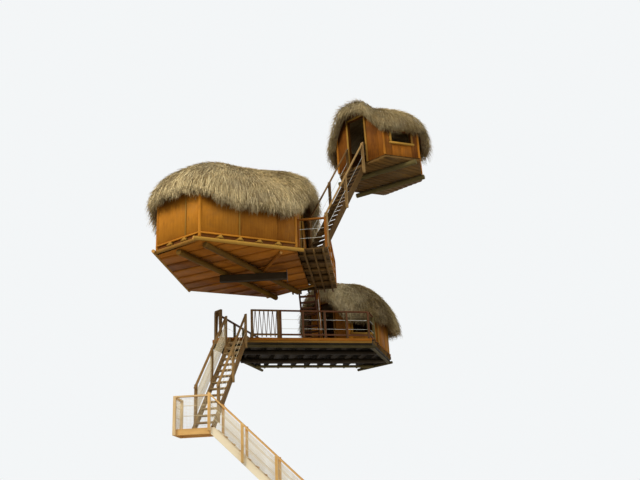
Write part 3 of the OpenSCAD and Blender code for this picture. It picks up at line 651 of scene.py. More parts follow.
def straw_group():
    """Straw from bleached to damp: a tone for each tuft, streaks along it and patches over the roof."""
    made, t, take, give = group("Straw", Grain="Vector", Place="Vector", Tone="Float", Light="Color",
                                Dark="Color")
    streak = t.noise(t.stretch(take["Grain"], 6.0, 120.0), 1.0, 3.0)
    patch = t.noise(take["Place"], 0.8, 4.0, 0.6)
    shade = t.plus(t.times(take["Tone"], 0.8), t.centred(patch, 1.5))
    color = t.mix(t.clamp(t.plus(shade, t.centred(streak, 0.5))), take["Dark"], take["Light"])
    grey = t.span(t.noise(take["Place"], 1.9, 3.0), 0.45, 0.7)
    t.feed(give, Color=t.mix(t.times(grey, 0.3), color, GREY_STRAW),
           Roughness=t.span(streak, 0.2, 0.8, 0.95, 0.75), Height=streak)
    return made


def rust_group():
    """Patches of rust on paint, with a rough edge."""
    made, t, take, give = group("Rust", Place="Vector", Paint="Color", Amount="Float")
    spots = t.noise(take["Place"], 14.0, 8.0, 0.65)
    edge = t.math("SUBTRACT", 0.72, t.times(take["Amount"], 0.3))
    rust = t.clamp(t.times(t.math("SUBTRACT", spots, edge), 12.0))
    brown = t.mix(t.noise(take["Place"], 60.0, 4.0), DARK_RUST, LIGHT_RUST)
    t.feed(give, Color=t.mix(rust, take["Paint"], brown), Roughness=t.span(rust, 0.0, 1.0, 0.45, 0.9),
           Height=t.plus(rust, t.times(spots, 0.3)))
    return made


def finish(name, made, values, bump, metallic=0.0, gloss=0.5):
    """A material around one node group: its sockets take the piece's own grain, place and tone where the
    group has them, and the values given."""
    material = bpy.data.materials.new(name)
    material.use_nodes = True
    t = Tree(material.node_tree)
    shader = next(n for n in t.tree.nodes if n.type == "BSDF_PRINCIPLED")
    held = t.add("ShaderNodeGroup", node_tree=made)
    sources = {"Grain": lambda: t.add("ShaderNodeUVMap", uv_map="grain").outputs[0],
               "Place": lambda: t.add("ShaderNodeTexCoord").outputs["Object"],
               "Tone": lambda: t.add("ShaderNodeAttribute", attribute_name="tone").outputs["Fac"]}
    t.feed(held.inputs, **{key: source() for key, source in sources.items() if key in held.inputs})
    for key, value in values.items():
        held.inputs[key].default_value = (*value, 1.0) if hasattr(value, "__len__") else value
    lift = t.add("ShaderNodeBump", {"Height": held.outputs["Height"], "Strength": 0.6, "Distance": bump})
    t.feed(shader.inputs, **{"Base Color": held.outputs["Color"], "Roughness": held.outputs["Roughness"],
                             "Normal": lift.outputs[0]})
    shader.inputs["Metallic"].default_value = metallic
    shader.inputs["Specular IOR Level"].default_value = gloss
    return material


FINISHES = {}


def make_finishes():
    """Every material by its short name, from the colours in the panel."""
    c = sizes("colours")
    wood, straw, rust = wood_group(), straw_group(), rust_group()
    for key, (name, _, _, contrast, dirt, bump) in WOODS.items():
        values = {"Light": getattr(c, key + "_light"), "Dark": getattr(c, key + "_dark"),
                  "Contrast": contrast, "Dirt": dirt}
        FINISHES[key] = finish(name, wood, values, bump, gloss=0.12)
    values = {"Light": c.straw_light, "Dark": c.straw_dark}
    FINISHES["straw"] = finish("Straw", straw, values, 0.01, gloss=0.1)
    for key, name, paint, amount, bump, metallic in (("plate", "Plate steel", c.steel, 0.6, 0.001, 0.0),
                                                     ("cable", "Cable steel", c.cable, 0.1, 0.0003, 0.3),
                                                     ("cord", "Net cord", c.cord, 0.0, 0.0003, 0.0)):
        FINISHES[key] = finish(name, rust, {"Paint": paint, "Amount": amount}, bump, metallic)


def fitted(*keys):
    """The materials with these short names."""
    return [FINISHES[key] for key in keys]


# Boards and poles

def clipped_boards(shape, flat, turn, pitch, joint, low, high, seed, slope=0.0, inset=0.0, longest=np.inf,
                   square=False):
    """Boards side by side across a plan, cut to its outline: a flat profile carried between the two edges of
    the plan. slope lifts one edge of each board's underside, so that they lap, and a board past the longest
    is two, butted at a chance place in its middle third. Boards cut square end past the outline at the far
    edge, in steps."""
    direction = np.array([math.cos(turn), math.sin(turn)])
    left = np.array([-direction[1], direction[0]])
    begin, stop = flat.span(left)
    begin, stop = begin + inset, stop - inset
    count = int(round((stop - begin) / pitch))
    edge = begin + np.arange(count + 1) * (stop - begin) / count
    f = np.linspace(0, 1, 5)
    across = (edge[:-1, None] + joint / 2) * (1 - f) + (edge[1:, None] - joint / 2) * f
    s = np.concatenate([across, across[:, ::-1]], axis=1)
    z = np.concatenate([low + slope * f, np.full(len(f), high)])
    first, last = flat.reach(direction, left, s)
    first, last = first + inset, np.maximum(last - inset, first + inset)
    if square:
        last[:] = last.max(1, keepdims=True)
    near, far = first.max(1), last.min(1)
    cut = (near + (0.35 + 0.3 * chance(seed + 500, count)) * (far - near))[:, None] + 0 * first
    split = far - near > longest
    s = np.concatenate([s, s[split]])
    first, last = (np.concatenate([first, cut[split] + joint]),
                   np.concatenate([np.where(split[:, None], cut, last), last[split]]))
    ends = [np.dstack([t[..., None] * direction + s[..., None] * left, z + 0 * t]) for t in (first, last)]
    return shape.loft(np.stack(ends, axis=1), chance(seed, len(s)))


def raised(flat, z):
    """Points of a plan at a height."""
    return np.concatenate([flat, np.full((len(flat), 1), z)], axis=1)


def core(shape, plan, low, high):
    """The plan as one flat slab, drawn in from its corners."""
    inset, tone = 0.02, 0.3
    middle = plan.corners.mean(0)
    away = plan.corners - middle
    flat = middle + away * (1 - inset / np.linalg.norm(away, axis=1, keepdims=True))
    return shape.loft(np.stack([raised(flat, low), raised(flat, high)])[None], tone)


def edge_boards(shape, plan, sides, low, high, thick, seed, out=0.0):
    """A board on edge along some sides of a plan, inwards from out beyond its outline."""
    for side in sides:
        start = plan.at(side, 0.0, -out, low)
        along = plan.at(side, plan.lengths[side], -out, low) - start
        inward = plan.at(side, 0.0, thick, low) - plan.at(side, 0.0, 0.0, low)
        shape.bars(start, along, inward, (0, 0, high - low), chance(seed + side, 1))
    return shape


def wall_strips(cabin, side, pitch):
    """Edges of the wall panels along a side, whole ones from its left corner on, with the edges of doorways
    and windows among them, and the free heights between them: a list of (from, to, low, high), high being
    infinite up to the thatch. A last panel under three tenths of the pitch joins the one before, and no
    joint is closer than least to an opening."""
    b, least = sizes("boards"), 0.12
    length = cabin.plan.lengths[side]
    edges = [*np.arange(0.0, length - 0.3 * pitch, pitch), length]
    doors = [x for s, x in cabin.doors if s == side]
    windows = [x for s, x in cabin.windows if s == side]
    cuts = [x + k * w / 2 for holes, w in ((doors, b.door_w), (windows, b.window_w))
            for x in holes for k in (-1, 1)]
    edges = [e for e in edges if all(abs(e - c) > least for c in cuts) or e in (0.0, length)]
    edges = sorted(set(edges + cuts))
    strips = []
    for left, right in zip(edges[:-1], edges[1:]):
        x = (left + right) / 2
        if any(abs(x - d) < b.door_w / 2 for d in doors):
            strips.append((left, right, b.door_h, np.inf))
        elif any(abs(x - w) < b.window_w / 2 for w in windows):
            strips.append((left, right, 0.0, b.sill_h))
            strips.append((left, right, b.sill_h + b.window_h, np.inf))
        else:
            strips.append((left, right, 0.0, np.inf))
    return strips


def uprights(shape, cabin, side, left, right, low, high, thick, tones, out=0.0):
    """Upright boards on a side of a cabin: a rectangle with cut corners carried from low to high, or up to
    where the thatch cuts it."""
    ease, least = 0.003, 0.02
    l, r, low, high = (np.asarray(v, float)[:, None] for v in (left, right, low, high))
    x = np.concatenate([l + ease, r - ease, r, r, r - ease, l + ease, l, l], axis=1)
    y = -out - np.array([0, 0, ease, thick - ease, thick, thick, thick - ease, ease])
    top = np.maximum(np.minimum(high, cabin.wall_top(side, x)), low + least)
    rings = [cabin.plan.at(side, x, y, cabin.floor + z) for z in (low, top)]
    return shape.loft(np.stack(rings, axis=1), tones)


def wall_panels(cabin, pitch, seed, foot):
    """Upright panels on the outside of every wall, from foot above the floor, cut round the doorways and
    windows. Those under the porch brow of the large cabin are darker: painted shade."""
    b = sizes("boards")
    shape = Shape()
    for side in range(len(cabin.plan.lengths)):
        left, right, low, high = np.array(wall_strips(cabin, side, pitch)).T
        low = np.where(low == 0.0, foot, low)
        # Painted shade: the panels on the large cabin's door side take three tenths of their tone
        shade = 0.3 if cabin is LARGE and side == cabin.doors[0][0] else 1.0
        uprights(shape, cabin, side, left + b.joint / 2, right - b.joint / 2, low, high, b.panel_t,
                 shade * chance(seed + side, len(left)))
    return shape


def opening_frames(cabin, seed):
    """Flat frames round the doorways and windows, on the outside of the wall."""
    b = sizes("boards")
    shape = Shape()
    wide, deep, sill_past, sill_out = 0.07, 0.05, 1.4, 1.5
    for holes, w, low, high in ((cabin.doors, b.door_w, 0.0, b.door_h),
                                (cabin.windows, b.window_w, b.sill_h, b.sill_h + b.window_h)):
        for side, x in holes:
            out = -np.append(cabin.plan.inward[side], 0.0) * deep
            along = np.append(cabin.plan.along[side], 0.0)
            at = lambda px, pz: cabin.plan.at(side, px, -b.panel_t / 2, cabin.floor + pz)
            tones = chance(seed + side, 4)
            for left, tone in ((x - w / 2 - wide, tones[0]), (x + w / 2, tones[1])):
                shape.bars(at(left, low), (0, 0, high - low + wide), along * wide, out, tone)
            shape.bars(at(x - w / 2, high), along * w, (0, 0, wide), out, tones[2])
            if low > 0:
                shape.bars(at(x - w / 2 - sill_past * wide, low - wide), along * (w + 2 * sill_past * wide),
                           (0, 0, wide), out * sill_out, tones[3])
    return shape


def corner_posts(cabin, seed):
    """A round post at each corner of the walls."""
    thick = 0.09
    corners = cabin.plan.corners
    low = raised(corners, cabin.floor)
    high = low.copy()
    high[:, 2] += [float(cabin.wall_top(side, 0.0)) for side in range(len(corners))]
    return Shape().poles(low, high, thick / 2, chance(seed, len(corners)), 8, 12, seed)


def node_poles(node):
    """Ends and radii of the round poles in a node: the two caps of each loose solid."""
    co, merged = np.unique(points_of(node).round(5), axis=0, return_inverse=True)
    index = merged.reshape(-1)[column(NODES[node].data.loops, "vertex_index", int)]
    total = np.full(len(index) // 3, 3)
    label = islands(len(co), index, np.repeat(np.arange(len(total)), 3), total)
    ends = []
    for k in range(label.max() + 1):
        cloud = co[label == k]
        middle = cloud.mean(0)
        axis = np.linalg.svd(cloud - middle, full_matrices=False)[2][0]
        t = (cloud - middle) @ axis
        away = cloud - middle - t[:, None] * axis
        centre = middle + (away.max(0) + away.min(0)) / 2
        radius = np.linalg.norm(cloud - centre - ((cloud - centre) @ axis)[:, None] * axis, axis=1).max()
        t = (cloud - centre) @ axis
        ends.append((centre + t.min() * axis, centre + t.max() * axis, radius))
    return ends


def pole_piece(node, name, keys, seed, wobble=0.04, bow=0.0):
    """The poles of a node, from the lowest up, as round timber with sawn ends. They are a little thinner, as
    they bulge here and there."""
    ends = sorted(node_poles(node), key=lambda e: e[0][2] + e[1][2])
    start, end, radius = (np.array([e[k] for e in ends]) for k in range(3))
    tones = chance(seed, len(ends))
    shape = Shape().poles(start, end, radius * 0.985, tones, 28, 16, seed, wobble, bow, cap=1)
    return piece(name, shape, fitted(*keys), [node], smooth=50)


# Thatch

def thatch_at(cabin, angle, s, inner=0.0):
    """Points of the thatch for an angle and s from 0 at the top to 1 at the eave."""
    angle, s = np.broadcast_arrays(angle, s)
    radius = cabin.radius(angle, inner) * s
    return np.stack([cabin.middle[0] + radius * np.cos(angle), cabin.middle[1] + radius * np.sin(angle),
                     cabin.height(angle, s, inner)], axis=-1)


LIP = 0.9985    # where the shell ends and only the fringe goes on, the eave being 1


def thatch_body(cabin, seed, around=180, rings=40):
    """The thatch as one closed shell: outer dome, round lip as half a sine, inner dome, in rings that lie
    closer towards the eave. The outer dome has lumps as sine waves and seven ragged courses, each thicker
    towards its lower edge, and is sunk a little, for the straw over it."""
    lumps, courses, sunk, lip_out = 0.03, 0.035, 0.075, 0.05
    a = np.linspace(0, 2 * np.pi, around, endpoint=False)[:, None]
    s = np.clip(1 - np.linspace(0, 1, rings)[None] ** 1.6, 0.004, LIP)
    outer = thatch_at(cabin, a, s)
    lump = lumps * waves(6 * np.cos(a) + 0 * s, 6 * np.sin(a) + 9 * s, seed)
    ragged = 0.15 * waves(3 * np.cos(a), 3 * np.sin(a), seed + 1)
    course = courses * ((s * 7.0 + ragged) % 1.0) * (s < 0.97)
    outer = outer + (lump + course - sunk)[..., None] * unit(outer - np.append(cabin.middle, cabin.eave))
    inner = thatch_at(cabin, a, s, sizes("thatch").thick)
    lip = np.linspace(0, 1, 5)[None, 1:-1, None]
    under = outer[:, :1] * (1 - lip) + inner[:, :1] * lip + np.array([0, 0, lip_out]) * np.sin(np.pi * lip)
    profile = np.concatenate([outer[:, ::-1], under, inner], axis=1)
    count = profile.shape[1]
    i, j = np.meshgrid(np.arange(around), np.arange(count - 1), indexing="ij")
    corner = lambda di, dj: ((i + di) % around) * count + j + dj
    place = lambda di, dj: np.stack([(j + dj) * 0.12, (i + di) * 0.1], axis=-1)
    quads = np.stack([corner(*t) for t in TURNS], axis=-1).reshape(-1, 4)
    grain = np.stack([place(*t) for t in TURNS], axis=-2).reshape(-1, 4, 2)
    tops = [np.arange(around) * count, (np.arange(around) * count + count - 1)[::-1]]
    faces = [(quads, grain, 0)] + [(ring[None], np.zeros((1, around, 2)), 0) for ring in tops]
    tones = 0.12 + 0.2 * chance(seed, around, 1) + np.zeros((around, count))
    return Shape().add(profile.reshape(-1, 3), tones.ravel(), faces)


def tufts(root, down, out, side, length, width, curl, tones, rings=2):
    """Tufts of straw: a three-sided profile that thins out along a path which starts along down and turns
    outwards by curl."""
    t = np.linspace(0, 1, rings)[None, :, None]
    bend = t * down[:, None] + curl[:, None, None] * t ** 2 * out[:, None]
    path = root[:, None] + length[:, None, None] * bend
    thin = (width[:, None] * (1 - 0.85 * t[..., 0] ** 1.5))[..., None]
    corners = np.stack([side, -0.5 * side + 0.6 * out, -0.5 * side - 0.6 * out], axis=1)
    return Shape().loft(path[:, :, None] + thin[..., None] * 0.5 * corners[:, None], tones)


def slopes(cabin, a, s, inner=0.0):
    """Point of the thatch with its unit vectors down the slope, sideways and outwards, from points a step
    before it and after it."""
    step = 0.01
    point = thatch_at(cabin, a, s, inner)
    down = unit(thatch_at(cabin, a, s + step, inner) - thatch_at(cabin, a, s - step, inner))
    side = unit(thatch_at(cabin, a + step, s, inner) - thatch_at(cabin, a - step, s, inner))
    out = unit(np.cross(down, side))
    centre = np.append(cabin.middle, cabin.eave - 1.0)
    out *= np.sign((out * (point - centre)).sum(-1, keepdims=True))
    return point, down, side, out


def straw_cover(cabin, seed):
    """Tufts scattered evenly over the dome, all pointing down the slope with a little scatter, and a thinner
    lining of them inside the eave, darker as painted shade."""
    t = sizes("thatch")
    rng = np.random.default_rng(seed)
    radius = cabin.radius(np.linspace(0, 6.28, 60)).mean()
    # Areas of the dome and of its lined band, as parts of the disc under them
    dome, band = 2.1, 0.9
    count, lined = int(dome * np.pi * radius ** 2 * t.cover), int(band * np.pi * radius ** 2 * t.lining)
    inside = np.arange(count + lined) >= count
    total = len(inside)
    a = rng.uniform(0, 2 * np.pi, total)
    # More of them towards the eave, and the lining only there
    s = 1 - rng.uniform(0, 1, total) ** 1.35
    s = np.clip(np.where(inside, 0.72 + 0.27 * s, s), 0.03, 0.985)
    point, down, side, out = slopes(cabin, a, s, t.thick * inside)
    out = np.where(inside[:, None], -out, out)
    down = down + side * rng.normal(0, 0.13, (total, 1))
    length = t.straw_len * rng.uniform(0.5, 1.25, total) * (0.35 + 0.65 * s)
    width = t.straw_w * rng.uniform(0.6, 1.5, total)
    patch = 0.5 + 0.5 * waves(point[:, 0] * 1.4, point[:, 1] * 1.4 + point[:, 2], seed + 5)
    # Painted light and shade: each cabin's straw tone from its top to its eave, and a low tone for the
    # lining
    painted_light = np.where(inside, 0.35, np.interp(s, (0, 1), cabin.painted_light))
    tones = np.clip(0.3 * patch + rng.beta(1.3, 1.8, total) * 0.95, 0, 1) * painted_light
    root = point + out * rng.uniform(-0.05, 0.0, (total, 1))
    return tufts(root, down, out, side, length, width, rng.uniform(0.02, 0.2, total), tones)


def straw_fringe(cabin, seed):
    """Tufts hanging from above the lip of the thatch in ragged clumps, the inner ones longer and darker as
    painted shade, and shorter ones out of the lip itself, along the slope."""
    t = sizes("thatch")
    rng = np.random.default_rng(seed)
    # Even along the eave, at any depth of the thatch
    turn = np.linspace(0, 2 * np.pi, 721)
    curve = thatch_at(cabin, turn, np.full(len(turn), 1.0), t.thick / 2)
    run = np.append(0.0, np.cumsum(np.linalg.norm(np.diff(curve, axis=0), axis=1)))
    count = int(run[-1] * t.fringe)
    a = np.interp(rng.uniform(0, run[-1], count), run, turn)
    depth = rng.uniform(0, 1, count)
    clump = np.clip(0.5 + 0.9 * waves(26 * np.cos(a), 26 * np.sin(a), seed + 2), 0, 1)
    # Four in ten come out of the lip, the others hang from above it
    lip = rng.uniform(0, 1, (count, 1)) < 0.4
    _, slope, side, out = slopes(cabin, a, np.full(count, 0.99))
    point = thatch_at(cabin, a, np.full(count, 1.0), t.thick * (0.05 + 0.9 * depth))
    point += np.where(lip, -0.06 * slope, [0, 0, 0.19])
    flat = unit(out * [1, 1, 0])
    down = np.where(lip, slope + [0, 0, -0.35], [0, 0, -1.0])
    down += flat * rng.normal(0.14, 0.13, (count, 1)) + side * rng.normal(0, 0.2, (count, 1))
    length = t.hang * rng.uniform(0.35, 0.75, count) * (0.6 + 0.4 * clump + 0.3 * depth * clump)
    length *= np.where(lip[:, 0], 0.65, 1.0)
    width = t.straw_w * rng.uniform(0.5, 1.1, count)
    # Painted shade: the inner tufts are darker, and each cabin's fringe takes its own eave tone
    tones = np.clip(rng.beta(1.6, 1.8, count) * (1 - 0.6 * depth) + 0.15 * clump, 0, 1) * cabin.painted_light[1]
    return tufts(point, down, flat, side, length, width, rng.uniform(-0.15, 0.25, count), tones, rings=3)


# Nets

def net(shape, start, along, up):
    """A net between four corners: straight cords along both directions."""
    r = sizes("rails")
    start, along, up = (np.asarray(v, float) for v in (start, along, up))
    count_a = max(int(np.linalg.norm(along) / r.mesh_w), 2)
    count_u = max(int(np.linalg.norm(up) / r.mesh_w), 2)
    f = np.linspace(0, 1, count_a)[:, None]
    g = np.linspace(0, 1, count_u)[:, None]
    begin = np.concatenate([start + f * along, start + g * up])
    end = np.concatenate([start + f * along + up, start + g * up + along])
    return shape.poles(begin, end, r.wire_d / 2, 0.6, 2, 3, wobble=0.0)


# Operators

BACKDROP, SKY, FLOOR = (0.9, 0.92, 0.93, 1.0), (0.86, 0.93, 1.0, 1.0), (0.49, 0.465, 0.44, 1.0)


class TREEHOUSE_OT_stage(bpy.types.Operator):
    """Pale floor, soft lamps, world light and the camera"""
    bl_idname = "treehouse.stage"
    bl_label = "Stage"

    def execute(self, context):
        s = sizes("stage")
        scene = context.scene
        scene.view_settings.view_transform = "Standard"
        self.floor(scene, s.ground)
        self.world(scene)
        self.lamp("key", (-16.0, -17.0, 15.0), (-0.5, 2.0, -1.0), 9.0, 5200.0, (1.0, 0.95, 0.86))
        self.lamp("fill", (17.0, -14.0, 3.0), (0.5, 2.0, -2.0), 12.0, 1500.0, (0.93, 0.96, 1.0))
        self.lamp("rim", (8.0, 20.0, 12.0), (0.5, 2.0, 0.0), 8.0, 1600.0, (1.0, 1.0, 1.0))
        self.camera(scene, s)
        return {"FINISHED"}

    def floor(self, scene, z):
        """A wide floor that glows to the camera, more so far away, where it fades into the backdrop."""
        reach = 1500.0
        mesh = bpy.data.meshes.new("floor")
        corners = [(-reach, -reach, z), (reach, -reach, z), (reach, reach, z), (-reach, reach, z)]
        mesh.from_pydata(corners, [], [(0, 1, 2, 3)])
        floor = bpy.data.objects.new("floor", mesh)
        scene.collection.objects.link(floor)
        floor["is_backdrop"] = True
        pale = bpy.data.materials.new("Pale floor")
        pale.use_nodes = True
        shader = next(n for n in pale.node_tree.nodes if n.type == "BSDF_PRINCIPLED")
        for key, value in (("Base Color", FLOOR), ("Roughness", 0.9), ("Specular IOR Level", 0.0),
                           ("Emission Color", BACKDROP)):
            shader.inputs[key].default_value = value
        t = Tree(pale.node_tree)
        place = t.add("ShaderNodeTexCoord").outputs["Object"]
        away = t.add("ShaderNodeVectorMath", {0: place}, operation="LENGTH").outputs["Value"]
        glow = t.times(self.seen(t), t.span(away, 15.0, 80.0, 0.36, 0.7))
        t.feed(shader.inputs, **{"Emission Strength": glow})
        mesh.materials.append(pale)

    def world(self, scene):
        """Soft light from all round, with the backdrop where the camera sees it."""
        if scene.world is None:
            scene.world = bpy.data.worlds.new("Studio")
        scene.world.use_nodes = True
        t = Tree(scene.world.node_tree)
        background = next(n for n in t.tree.nodes if n.type == "BACKGROUND")
        seen = self.seen(t)
        t.feed(background.inputs, Color=t.mix(seen, SKY, BACKDROP),
               Strength=t.span(seen, 0.0, 1.0, 0.62, 1.0))

    def camera(self, scene, s):
        """The camera of the photograph."""
        lens = bpy.data.cameras.new("camera")
        lens.lens = s.lens
        lens.sensor_width = s.sensor
        lens.clip_end = 4000.0
        camera = bpy.data.objects.new("camera", lens)
        scene.collection.objects.link(camera)
        turn = Matrix.Rotation(math.pi / 2 + s.pitch, 4, "X") @ Matrix.Rotation(-s.roll, 4, "Z")
        camera.matrix_world = Matrix.Translation((s.aside, -s.distance, s.ground + s.eye)) @ turn
        scene.camera = camera

    def seen(self, t):
        """1 for rays from the camera and in reflections, 0 for the light that falls on the object."""
        rays = t.add("ShaderNodeLightPath").outputs
        mirrored = t.math("MAXIMUM", rays["Is Glossy Ray"], rays["Is Transmission Ray"])
        return t.math("MAXIMUM", rays["Is Camera Ray"], mirrored)

    def lamp(self, name, place, target, wide, power, colour):
        """A square area lamp that looks at the target."""
        light = bpy.data.lights.new(name, "AREA")
        light.size = wide
        light.energy = power
        light.color = colour
        lamp = bpy.data.objects.new(name, light)
        bpy.context.scene.collection.objects.link(lamp)
        lamp.location = place
        lamp.rotation_euler = (Vector(target) - Vector(place)).to_track_quat("-Z", "Y").to_euler()


class TREEHOUSE_OT_walls(bpy.types.Operator):
    """Panels, corner posts and the frames of doorways and windows on the three cabins"""
    bl_idname = "treehouse.walls"
    bl_label = "Cabin walls"
    # Height above the floor at which the panels and the skirting of the large cabin start
    foot = 0.1

    def execute(self, context):
        b = sizes("boards")
        for k, cabin in enumerate(CABINS):
            pitch = b.panel_w if cabin is UPPER else b.wide_panel
            foot = self.foot if cabin is LARGE else 0.0
            name, boards = cabin.name, fitted("lapped" if cabin is UPPER else "stained")
            posts = fitted("peeled" if cabin is SMALL else "stained")
            piece(name + "_wall_panels", wall_panels(cabin, pitch, 10 * k, foot), boards)
            piece(name + "_corner_posts", corner_posts(cabin, 100 + k), posts, smooth=50)
            piece(name + "_frames", opening_frames(cabin, 200 + 10 * k), fitted("peeled"))
            # The insides of the walls take the darker lapped boards: painted shade
            for node in cabin.walls:
                NODES[node].material_slots[0].material = FINISHES["lapped"]
        self.battens()
        self.foot_blocks()
        return {"FINISHED"}

    def battens(self):
        """Thin battens over every second joint of the large cabin's panels, where a panel runs from the
        floor to the thatch."""
        b, low, from_corner, tall = sizes("boards"), 0.12, 0.2, 2.0
        shape = Shape()
        for side in range(len(LARGE.plan.lengths)):
            strips = wall_strips(LARGE, side, b.wide_panel)
            x = np.array([left for left, _, start, end in strips
                          if left > from_corner and start == 0.0 and end > tall])[::2]
            if len(x):
                uprights(shape, LARGE, side, x - b.batten_w / 2, x + b.batten_w / 2, low + 0 * x,
                         np.inf + 0 * x, b.batten_t, chance(300 + side, len(x)), out=b.panel_t)
        piece("large_battens", shape, fitted("peeled"))

    def foot_blocks(self):
        """Three-sided brackets at the foot of the panels of the large cabin, smaller at their outer ends,
        and a skirting board along the wall."""
        b, plan = sizes("boards"), LARGE.plan
        blocks, skirt = Shape(), Shape()
        wide, tall, deep, thick = 0.15, 0.17, 0.11, 0.05
        flat = np.array([[-wide, 0.0], [wide, 0.0], [0.25 * wide, tall]])
        for side in range(len(plan.lengths)):
            if side == LARGE.doors[0][0]:
                continue
            length = plan.lengths[side]
            count = int(round(length / b.panel_w))
            x = np.linspace(0, length, count + 1)[1:-1, None]
            rings = [plan.at(side, x + flat[:, 0] * k, -out, LARGE.floor + flat[:, 1] * h)
                     for out, k, h in ((0.0, 1.0, 1.0), (deep, 0.55, 0.35))]
            blocks.loft(np.stack(rings, axis=1), 0.55 + 0.4 * chance(320 + side, count - 1))
            start, end = (plan.at(side, v, 0.0, LARGE.floor + self.foot) for v in (0.0, length))
            skirt.bars(start, end - start, -np.append(plan.inward[side], 0.0) * thick, (0, 0, thick), 0.8)
        piece("large_foot_blocks", blocks, fitted("peeled"))
        piece("large_skirting", skirt, fitted("stained"))


class TREEHOUSE_OT_floors(bpy.types.Operator):
    """Floors and decks as boards, with lapped boards under two of the cabins"""
    bl_idname = "treehouse.floors"
    bl_label = "Floors and decks"

    def execute(self, context):
        b = sizes("boards")
        self.large_floor(b)
        self.upper_floor(b)
        self.terrace(b)
        self.porch(b)
        return {"FINISHED"}

    def large_floor(self, b):
        """Lapped boards below, across the main poles, and deck boards on top, along them."""
        low, high = (v.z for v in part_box("large_floor"))
        flat = Flat("large_floor")
        start, end, _ = node_poles("large_main_poles")[0]
        run = end - start
        turn, thick = math.atan2(run[1], run[0]) - math.pi / 2, 0.06
        under = clipped_boards(Shape(), flat, turn, b.lap_w, 0.004, low, low + thick, 41, slope=b.lap_rise,
                               longest=b.long_board)
        piece("large_lapped_boards", under, fitted("lapped"), ["large_floor"])
        turn += math.pi / 2
        shape = clipped_boards(Shape(), flat, turn, b.deck_w, b.joint, high - b.deck_t, high, 42)
        self.filling(shape, LARGE.plan, low + thick, high - b.deck_t, 43)
        piece("large_floor_boards", shape, fitted("stained"))

    def upper_floor(self, b):
        """Narrower lapped boards and deck boards that run the same way, in one piece."""
        low, high = (v.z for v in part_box("upper_floor"))
        flat, turn, thick = Flat("upper_floor"), 0.6, 0.04
        shape = clipped_boards(Shape(), flat, turn, b.deck_w, b.joint, high - b.deck_t, high, 44)
        clipped_boards(shape, flat, turn, 0.2, 0.008, low, low + thick, 45, slope=0.015)
        self.filling(shape, UPPER.plan, low + thick, high - b.deck_t, 46)
        piece("upper_floor_boards", shape, fitted("painted_shade"), ["upper_floor"])

    def filling(self, shape, plan, low, high, seed, gap=0.001, thick=0.03):
        """What lies between two layers of boards: a slab, and boards on edge round it, both a gap clear of
        them."""
        core(shape, plan, low + 2 * gap, high - 2 * gap)
        edge_boards(shape, plan, range(6), low + gap, high - gap, thick, seed)

    def terrace(self, b):
        """Planks with undersides darkened as painted shade, joists, and on the outer sides a fascia and rim
        boards.
        """
        low, high = (v.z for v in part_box("terrace_deck"))
        plan, flat = Outline(points_of("terrace_deck")[:, :2]), Flat("terrace_deck")
        turn = math.atan2(plan.along[0][1], plan.along[0][0])
        # The plank undersides are a thin layer of the near-black timber: painted shade
        dark, gap = 0.011, 0.001
        for name, key, z in (("terrace_deck_boards", "lapped", (low + dark + gap, high)),
                             ("terrace_board_undersides", "dark", (low, low + dark))):
            shape = clipped_boards(Shape(), flat, turn, b.plank_w, b.joint, *z, 47, longest=b.long_board,
                                   square=True)
            piece(name, shape, fitted(key), ["terrace_deck"])
        sawn_copy("terrace_frame", "terrace_joists", fitted("dark"), 48)
        self.joist_tails(plan, low)
        sides, low, middle, gap = [0, 4, 5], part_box("terrace_frame")[0].z + 0.06, high - 0.1, 0.004
        fascia = edge_boards(Shape(), plan, sides, low, middle - gap, thick=0.02, seed=49, out=0.016)
        piece("terrace_fascia", fascia, fitted("peeled"))
        rim = edge_boards(Shape(), plan, sides, middle, high - gap, thick=0.028, seed=50, out=0.024)
        piece("terrace_rim_boards", rim, fitted("lapped"))

    def joist_tails(self, plan, top):
        """Ends of the joists, cut square, that step out past the slanting edge on the right."""
        inside, outside, wide, deep, space, gap = 0.25, 0.07, 0.07, 0.12, 0.3, 0.004
        count = int(plan.lengths[1] / space)
        edge = plan.at(1, plan.lengths[1] * (np.arange(count) + 0.7) / count, 0.0, top - gap)
        along, across = np.append(plan.along[0], 0.0), np.append(plan.inward[0], 0.0)
        tails = Shape().bars(edge - inside * along, (inside + outside) * along, wide * across, (0, 0, -deep),
                             chance(55, count))
        piece("terrace_joist_tails", tails, fitted("painted_shade"))

    def porch(self, b):
        """Deck boards across the porch, on joists along it and others across, further apart."""
        low, high = (v.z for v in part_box("porch_deck"))
        flat = Flat("porch_deck")
        along = LARGE.plan.along[LARGE.doors[0][0]]
        turn = math.atan2(along[1], along[0])
        across, under, thick, gap = turn + math.pi / 2, high - b.deck_t, 0.06, 0.001
        shape = clipped_boards(Shape(), flat, across, b.deck_w, b.joint, under, high, 51)
        for way, pitch, lift, gaps, seed in ((turn, 0.3, 0.0, 1, 52), (across, 0.75, 0.02, 2, 53)):
            clipped_boards(shape, flat, way, pitch, pitch - thick, low + lift, under - gaps * gap, seed,
                           inset=2 * gap)
        piece("porch_boards", shape, fitted("painted_shade"), ["porch_deck"])


